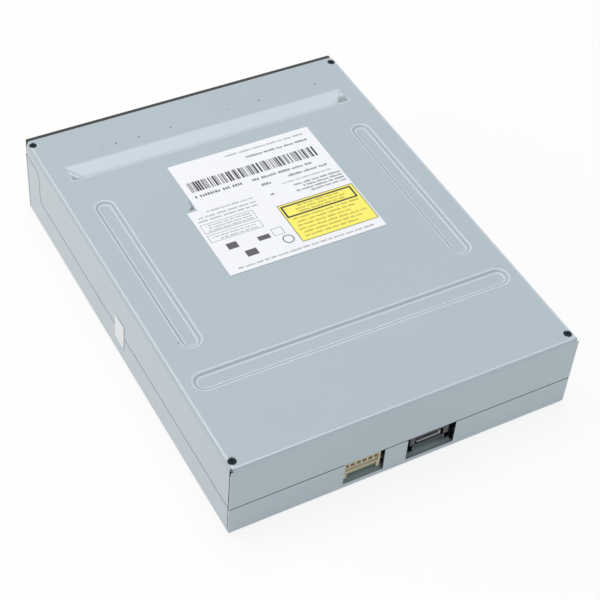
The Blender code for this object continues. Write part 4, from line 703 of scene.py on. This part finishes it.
def outline_strips(left, front, right, rear, width):
    """The four strips of a rectangular line frame."""
    return [(left, front, right, front + width), (left, rear - width, right, rear),
            (left, front + width, left + width, rear - width),
            (right - width, front + width, right, rear - width)]


def from_front(box):
    """A box given from the cover's front edge, in the frame's own places."""
    left, front, right, rear = box
    return (left, FRONT_Y + front, right, FRONT_Y + rear)


def bar_strips():
    """Upright bars of random widths, with gaps of random widths between them."""
    left, front, right, rear = from_front(BARS)
    made = []
    draw = random.Random(BAR_SEED)
    x, inked = left, True
    while x < right:
        wide = BAR_UNIT * draw.choice(BAR_WIDTHS)
        if inked:
            made.append((x, front, min(x + wide, right), rear))
        x += wide
        inked = not inked
    return made


def yellow_rows():
    """The rows of print on the yellow field."""
    rows = []
    left, front, right, rear = from_front(YELLOW_FRAME)
    for index, inset in enumerate(HEADING_INSETS):
        y = front + HEADING_START + index * HEADING_PITCH
        rows += print_row(left + inset, right - inset, y, YELLOW_PRINT_H, index + HEADING_SEED)
    left, right = YELLOW[0] + YELLOW_MARGIN, YELLOW[2] - YELLOW_MARGIN
    for index in range(YELLOW_ROWS):
        y = rear + YELLOW_ROW_START + index * YELLOW_ROW_PITCH
        rows += print_row(left + YELLOW_INDENT * (index % 3), right, y, YELLOW_PRINT_H, index)
    return rows


def build_ring(low):
    """A plain printed ring."""
    bm = bmesh.new()
    x, y = RING_PLACE[0], FRONT_Y + RING_PLACE[1]
    loops = [circle(bm, x, y, low, radius, RING_STEPS) for radius in (RING_R, RING_R - RING_W)]
    join_loops(bm, *loops)
    raise_faces(bm, list(bm.faces), FIELD_T)
    made = piece("label_ring", bm, "dark_ink")


def build_label():
    """The label's film and everything printed on it."""
    bm = bmesh.new()
    face = bm.faces.new([bm.verts.new((x, y, LABEL_LOW.z)) for x, y in label_outline()])
    raise_faces(bm, [face], FILM_T)
    made = piece("label_film", bm, "label")
    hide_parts("label")
    top = LABEL_LOW.z + FILM_T
    field = top + FIELD_T
    ink = field + FIELD_T
    patches("label_yellow_field", [from_front(YELLOW)], top, field, "yellow")
    frames = outline_strips(*from_front(YELLOW), YELLOW_BORDER_W)
    frames += outline_strips(*from_front(YELLOW_FRAME), YELLOW_FRAME_W)
    patches("label_yellow_frame", frames, field, ink, "ink")
    patches("label_yellow_print", yellow_rows(), field, ink, "olive_ink")
    patches("label_bars", bar_strips(), top, field, "ink")
    dark, faint = [], []
    for rows, marks in ((DARK_ROWS, dark), (FAINT_ROWS, faint)):
        for seed, (left, right, front, height) in enumerate(rows):
            marks.extend(print_row(left, right, FRONT_Y + front, height, seed))
    for frame_box in FRAMES:
        faint += outline_strips(*from_front(frame_box), FRAME_W)
    patches("label_print", dark, top, field, "dark_ink")
    patches("label_fine_print", faint, top, field, "soft_ink")
    patches("label_blocks", [from_front(block) for block in BLOCKS], top, field, "dark_ink")
    build_ring(top)


# Seal: a film across the side seam, slanted a little and dented where it spans the gap
SEAL_T = 0.00002
SEAL_SLANT = 0.0009
SEAL_DENT = 0.00004
SEAL_DENT_REACH = 0.0007
SEAL_ROWS = 26
SEAL_COLUMNS = 12


def build_seal():
    """The seal sticker, as a thin film with its dent at the seam."""
    bm = bmesh.new()
    bmesh.ops.create_grid(bm, x_segments=SEAL_COLUMNS, y_segments=SEAL_ROWS, size=0.5)
    wide, tall = SEAL_HIGH.y - SEAL_LOW.y, SEAL_HIGH.z - SEAL_LOW.z
    skin = SEAL_HIGH.x - SEAL_T
    for vert in bm.verts:
        across, up = vert.co.x, vert.co.y
        z = (SEAL_LOW.z + SEAL_HIGH.z) / 2 + up * tall
        dent = SEAL_DENT * math.exp(-((z - SEAM_Z) / SEAL_DENT_REACH) ** 2)
        y = (SEAL_LOW.y + SEAL_HIGH.y) / 2 + across * (wide - SEAL_SLANT) + up * SEAL_SLANT
        vert.co = (skin - dent, y, z)
    bmesh.ops.recalc_face_normals(bm, faces=bm.faces)
    made = piece("seal_film", bm, "seal")
    solid = made.modifiers.new("film", "SOLIDIFY")
    solid.thickness = SEAL_T
    solid.offset = 0.0
    made.data.shade_smooth()
    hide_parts("seal")


# Corner screws: a low domed head, as (radius, height) from its crown down the shank, with a cross recess
HEAD_PROFILE = (
    (0.0, 0.00002), (0.0007, 0.00001), (0.0012, -0.00006), (0.00152, -0.00016), (0.00168, -0.00034),
    (0.00168, -0.00050), (0.00085, -0.00130), (0.00085, -0.0040), (0.0, -0.0040))
HEAD_STEPS = 32
HEAD_SHARP = 40.0
RECESS_ARM = 0.00098
RECESS_W = 0.00030
RECESS_DEPTH = 0.00075
RECESS_TAPER = 0.55
RECESS_OVER = 0.0002
SCREW_TURNS = (20.0, 65.0, 35.0, 80.0)


def head_body():
    """The screw head and its shank, turned around the Z axis, without the recess."""
    bm = bmesh.new()
    loops = []
    for radius, height in HEAD_PROFILE:
        if radius == 0.0:
            loops.append([bm.verts.new((0.0, 0.0, height))])
        else:
            loops.append(circle(bm, 0.0, 0.0, height, radius, HEAD_STEPS))
    for above, below in zip(loops, loops[1:]):
        for step, after in around(HEAD_STEPS):
            if len(above) == 1:
                bm.faces.new((above[0], below[step], below[after]))
            elif len(below) == 1:
                bm.faces.new((above[step], below[0], above[after]))
            else:
                bm.faces.new((above[step], below[step], below[after], above[after]))
    bmesh.ops.recalc_face_normals(bm, faces=bm.faces)
    return bm


def cross_recess():
    """Two crossed bars, narrower in X at the bottom of the recess."""
    bm = bmesh.new()
    for reach_x, reach_y in ((RECESS_ARM, RECESS_W / 2), (RECESS_W / 2, RECESS_ARM)):
        for vert in bmesh.ops.create_cube(bm, size=2.0)["verts"]:
            share, z = (1.0, RECESS_OVER) if vert.co.z > 0 else (RECESS_TAPER, -RECESS_DEPTH)
            vert.co = (vert.co.x * reach_x * share, vert.co.y * reach_y, z)
    return bm


def screw_head(name, place, turn):
    """A screw's head with its recess, turned and set in its place."""
    head = piece(name + "_head", head_body(), "screw")
    carve(head, cross_recess())
    head.data.transform(Matrix.Translation(place) @ Matrix.Rotation(math.radians(turn), 4, "Z"))
    smooth_by_angle(head, HEAD_SHARP)
    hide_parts(name)


def build_screws():
    """The four corner screws, each turned as it happened to be driven."""
    for number, turn in enumerate(SCREW_TURNS, start=1):
        name = f"cover_screw_{number}"
        low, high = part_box(name)
        screw_head(name, ((low.x + high.x) / 2, (low.y + high.y) / 2, high.z), turn)


# Tray front: its rounded top stands nearly level with the cover
BEZEL_DROP = 0.0003
BEZEL_ROUND = 0.00035
BEZEL_STEPS = 4


def build_bezel():
    """The tray's front with rounded edges."""
    low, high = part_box("tray_bezel")
    bm = bmesh.new()
    add_box(bm, low, (high.x, high.y, TOP_Z - BEZEL_DROP))
    made = piece("bezel_front", bm, "bezel", "tray")
    edges = made.modifiers.new("edges", "BEVEL")
    edges.width = BEZEL_ROUND
    edges.segments = BEZEL_STEPS
    edges.harden_normals = True
    made.data.shade_smooth()
    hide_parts("tray_bezel")


# Small dark specks in the coating of the top and one dark patch, from the cover's front edge
SPECKS = (
    (0.0452, 0.0151), (0.0392, 0.0157), (0.0287, 0.0155), (0.0141, 0.0155), (-0.0136, 0.0147),
    (-0.0282, 0.0144), (-0.0562, 0.0138), (0.0637, 0.1285))
SPECK_R = 0.00035
SPECK_T = 0.000006
SPECK_SIZES = (0.7, 1.15, 1.0, 0.85)
SPECK_SIDES = 9
SPECK_TAPER = 0.8
SPECK_LENGTH = 1.6
DARK_PATCH = ((0.0268, 0.0585), (0.0276, 0.0640), (0.0298, 0.0656), (0.0272, 0.0656))


def build_specks():
    """The specks and the dark patch, as very thin patches on the top."""
    bm = bmesh.new()
    for index, (x, y) in enumerate(SPECKS):
        size = SPECK_R * SPECK_SIZES[index % len(SPECK_SIZES)]
        place = Matrix.Translation((x, FRONT_Y + y, TOP_Z + SPECK_T / 2))
        bmesh.ops.create_cone(bm, cap_ends=True, segments=SPECK_SIDES, radius1=size,
                              radius2=size * SPECK_TAPER, depth=SPECK_T,
                              matrix=place @ Matrix.Diagonal((1.0, SPECK_LENGTH, 1.0, 1.0)))
    made = piece("cover_specks", bm, "speck")
    dark_patch = bmesh.new()
    face = dark_patch.faces.new([dark_patch.verts.new((x, FRONT_Y + y, TOP_Z)) for x, y in DARK_PATCH])
    raise_faces(dark_patch, [face], SPECK_T)
    made = piece("cover_dark_patch", dark_patch, "speck")


# Sockets: boxes are (low, high) corners from the socket's middle in X, its rear face in Y, and the frame's Z
WALL = 0.0008
SHROUD_DEPTH = 0.0065
BACK_Y = WALL - SHROUD_DEPTH
BOARD_GAP = 0.0003
LUG_W = 0.0014
TAB_SETBACK = 0.0006

# Power socket
POWER_WAYS = 6
POWER_PITCH = 0.0025
WELL = 0.0018
WELL_Z = 0.01010
WELL_SETBACK = 0.0006
WELL_DEPTH = 0.0042
PIN_W = 0.00064
PIN_SETBACK = 0.0016

# Data socket
MOUTH_W = 0.0124
TONGUE_W = 0.0104
TONGUE_LOW = 0.0084
TONGUE_T = 0.0011
TONGUE_KEY = 0.0022
TONGUE_SETBACK = 0.0004
TONGUE_CONTACTS = 7
CONTACT_PITCH = 0.00127
CONTACT_W = 0.0007
CONTACT_T = 0.00008
CONTACT_SETBACK = 0.0012
EAR_W = 0.0019
EAR_H = 0.0030
EAR_T = 0.0004
EAR_RISE = 0.0006
FLANGE_W = 0.0034
FLANGE_T = 0.0002

# Strip of steel under a socket, coloured lighter as painted light
SHELF_Z = 0.0030
SHELF_DEPTH = 0.0050
SHELF_SPREAD = 0.0018


def socket_piece(name, boxes, finish, low, high):
    """A piece of a socket, made of boxes placed from the socket's own box."""
    bm = bmesh.new()
    middle, face = (low.x + high.x) / 2, high.y
    for first, last in boxes:
        add_box(bm, (middle + first[0], face + first[1], first[2]),
                (middle + last[0], face + last[1], last[2]))
    made = piece(name, bm, finish)
    return made


def shroud(half, low, high, inner_half):
    """A housing open at its rear face: floor, roof, two cheeks and a back."""
    return [((-half, -SHROUD_DEPTH, low), (half, 0.0, low + WALL)),
            ((-half, -SHROUD_DEPTH, high - WALL), (half, 0.0, high)),
            ((-half, -SHROUD_DEPTH, low + WALL), (-inner_half, 0.0, high - WALL)),
            ((inner_half, -SHROUD_DEPTH, low + WALL), (half, 0.0, high - WALL)),
            ((-inner_half, -SHROUD_DEPTH, low + WALL), (inner_half, BACK_Y, high - WALL))]


def at_ends(half, width, front, rear, low, high):
    """Two boxes alike, one just inside each end of a socket."""
    return [((-half, front, low), (width - half, rear, high)),
            ((half - width, front, low), (half, rear, high))]


def spaced(count, pitch):
    """Places in a row about the middle."""
    return [(index - (count - 1) / 2) * pitch for index in range(count)]


def in_row(places, width, front, rear, low, high):
    """A box at each place of a row, all alike."""
    return [((x - width / 2, front, low), (x + width / 2, rear, high)) for x in places]


def build_power_socket():
    """The power socket: a housing with a row of wells, a pin in each, and the board's edge under it."""
    low, high = POWER_LOW, POWER_HIGH
    half = (high.x - low.x) / 2
    inner = half - WALL
    front = BOARD_HIGH.y - high.y + BOARD_GAP
    floor = BOARD_HIGH.z + BOARD_GAP
    well_low, well_high = WELL_Z - WELL / 2, WELL_Z + WELL / 2
    housing = shroud(half, floor, high.z, inner) + at_ends(half, LUG_W, front, 0.0, low.z, floor)
    housing += [((-inner, BACK_Y, floor + WALL), (inner, -WELL_SETBACK, well_low)),
                ((-inner, BACK_Y, well_high), (inner, -WELL_SETBACK, high.z - WALL))]
    wells = spaced(POWER_WAYS, POWER_PITCH)
    edges = [-inner] + [x + side * WELL / 2 for x in wells for side in (-1, 1)] + [inner]
    housing += [((left, BACK_Y, well_low), (right, -WELL_SETBACK, well_high))
                for left, right in zip(edges[0::2], edges[1::2]) if right > left]
    made = socket_piece("power_housing", housing, "cream", low, high)
    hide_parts("power_socket")
    pins = in_row(wells, PIN_W, BACK_Y, -PIN_SETBACK, WELL_Z - PIN_W / 2, WELL_Z + PIN_W / 2)
    socket_piece("power_pins", pins, "brass", low, high)
    # Painted shade: a dark brown box at the back of each well stands for the shade deep in it
    backs = in_row(wells, WELL, BACK_Y, -WELL_DEPTH, well_low, well_high)
    socket_piece("power_wells", backs, "well_painted_shade", low, high)
    tab_half = half - LUG_W - BOARD_GAP
    tab = [((-tab_half, BOARD_HIGH.y - high.y, BOARD_LOW.z), (tab_half, -TAB_SETBACK, BOARD_HIGH.z))]
    socket_piece("board_tab_power", tab, "board", low, high)


def build_data_socket():
    """The data socket: a flanged housing around a keyed tongue with its contacts, and two ears."""
    low, high = DATA_LOW, DATA_HIGH
    half = (high.x - low.x) / 2
    front = BOARD_HIGH.y - high.y + BOARD_GAP
    floor = BOARD_HIGH.z + BOARD_GAP
    housing = shroud(half, floor, high.z, MOUTH_W / 2) + at_ends(half, LUG_W, front, 0.0, low.z, floor)
    housing += [((-half - FLANGE_W, front - FLANGE_T, low.z), (-half, front, high.z)),
                ((half, front - FLANGE_T, low.z), (half + FLANGE_W, front, high.z))]
    made = socket_piece("data_housing", housing, "socket", low, high)
    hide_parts("data_socket")
    top = TONGUE_LOW + TONGUE_T
    tongue = [((-TONGUE_W / 2, BACK_Y, TONGUE_LOW), (TONGUE_W / 2, -TONGUE_SETBACK, top)),
              ((-TONGUE_W / 2, BACK_Y, top),
               (TONGUE_T - TONGUE_W / 2, -TONGUE_SETBACK, TONGUE_LOW + TONGUE_KEY))]
    socket_piece("data_tongue", tongue, "grey", low, high)
    ear_low = low.z + EAR_RISE
    ears = at_ends(half, EAR_W, -EAR_T, 0.0, ear_low, ear_low + EAR_H)
    socket_piece("data_ears", ears, "tab", low, high)
    places = spaced(TONGUE_CONTACTS, CONTACT_PITCH)
    contacts = in_row(places, CONTACT_W, BACK_Y, -CONTACT_SETBACK, top, top + CONTACT_T)
    socket_piece("data_contacts", contacts, "brass", low, high)


def build_shelf(name, low, high):
    """A strip of steel under a socket, a little above the floor of the pan, coloured lighter as painted light.
    """
    half = (high.x - low.x) / 2 + SHELF_SPREAD
    wall = COVER_HIGH.y - high.y - SHEET
    shelf = [((-half, wall - SHELF_DEPTH, SHELF_Z - SHEET), (half, wall, SHELF_Z))]
    socket_piece(name, shelf, "pan", low, high)


# Stage: the floor and the surround look white to the camera and light the drive more dimly than they look
FLOOR_SIZE = 6.0
FLOOR_DROP = 0.0002
FLOOR_COLOUR = 0.94
FLOOR_ROUGHNESS = 0.9
FLOOR_WHITE = 0.85
WORLD_LEVEL = 0.42


def background_share(tree):
    """1 for the rays that show the background: straight from the camera, mirrored or passed through."""
    path = tree.nodes.new("ShaderNodeLightPath")
    share = path.outputs["Is Camera Ray"]
    for name in ("Is Glossy Ray", "Is Transmission Ray"):
        share = calculate(tree, "MAXIMUM", share, path.outputs[name])
    return share


def build_floor():
    """A plain pale floor."""
    bm = bmesh.new()
    bmesh.ops.create_grid(bm, x_segments=1, y_segments=1, size=FLOOR_SIZE)
    floor = new_object("floor", bm)
    floor.location.z = -FLOOR_DROP
    material, tree, shader = new_material("floor_white")
    shader.inputs["Base Color"].default_value = (FLOOR_COLOUR, FLOOR_COLOUR, FLOOR_COLOUR, 1.0)
    shader.inputs["Roughness"].default_value = FLOOR_ROUGHNESS
    glow = tree.nodes.new("ShaderNodeEmission")
    mix = tree.nodes.new("ShaderNodeMixShader")
    feed(tree, mix.inputs["Fac"], calculate(tree, "MULTIPLY", background_share(tree), FLOOR_WHITE))
    tree.links.new(shader.outputs["BSDF"], mix.inputs[1])
    tree.links.new(glow.outputs["Emission"], mix.inputs[2])
    tree.links.new(mix.outputs["Shader"], tree.nodes["Material Output"].inputs["Surface"])
    floor.data.materials.append(material)


def build_surround():
    """A white surround."""
    world = bpy.data.worlds.new("surround")
    bpy.context.scene.world = world
    world.use_nodes = True
    tree = world.node_tree
    background = tree.nodes["Background"]
    background.inputs["Color"].default_value = (1.0, 1.0, 1.0, 1.0)
    level = tree.nodes.new("ShaderNodeMapRange")
    level.inputs["To Min"].default_value = WORLD_LEVEL
    level.inputs["To Max"].default_value = 1.0
    tree.links.new(background_share(tree), level.inputs["Value"])
    tree.links.new(level.outputs["Result"], background.inputs["Strength"])


def lamp(name, place, aim, size, power, colour):
    """A soft square lamp at a place, aimed at a point and hidden from mirror reflections."""
    data = bpy.data.lights.new(name, "AREA")
    data.shape = "SQUARE"
    data.size = size
    data.energy = power
    data.color = colour
    made = bpy.data.objects.new(name, data)
    made.location = place
    made.rotation_euler = (Vector(aim) - Vector(place)).to_track_quat("-Z", "Y").to_euler()
    made.visible_glossy = False
    bpy.context.scene.collection.objects.link(made)


def build_camera():
    """The camera of the main view."""
    data = bpy.data.cameras.new("camera")
    data.lens = CAMERA_LENS
    data.sensor_width = SENSOR_W
    camera = bpy.data.objects.new("camera", data)
    camera.location = CAMERA_PLACE
    camera.rotation_euler = [math.radians(angle) for angle in CAMERA_TURN]
    bpy.context.scene.collection.objects.link(camera)
    bpy.context.scene.camera = camera


build_camera()
build_floor()
build_surround()
lamp("overhead", place=(0.05, -0.20, 1.20), aim=(0.0, 0.0, 0.0), size=0.9, power=8.5,
     colour=(1.0, 1.0, 1.0))
lamp("side_fill", place=(0.9, -0.45, 0.4), aim=(0.0, -0.05, 0.0), size=0.6, power=4.2,
     colour=(1.0, 0.84, 0.70))
dress_nodes()
build_cover()
build_corner_fills()
build_label()
build_seal()
build_screws()
build_bezel()
build_specks()
build_power_socket()
build_data_socket()
build_shelf("shelf_power", POWER_LOW, POWER_HIGH)
build_shelf("shelf_data", DATA_LOW, DATA_HIGH)

bpy.context.scene.view_settings.view_transform = "Standard"
bpy.context.view_layer.update()
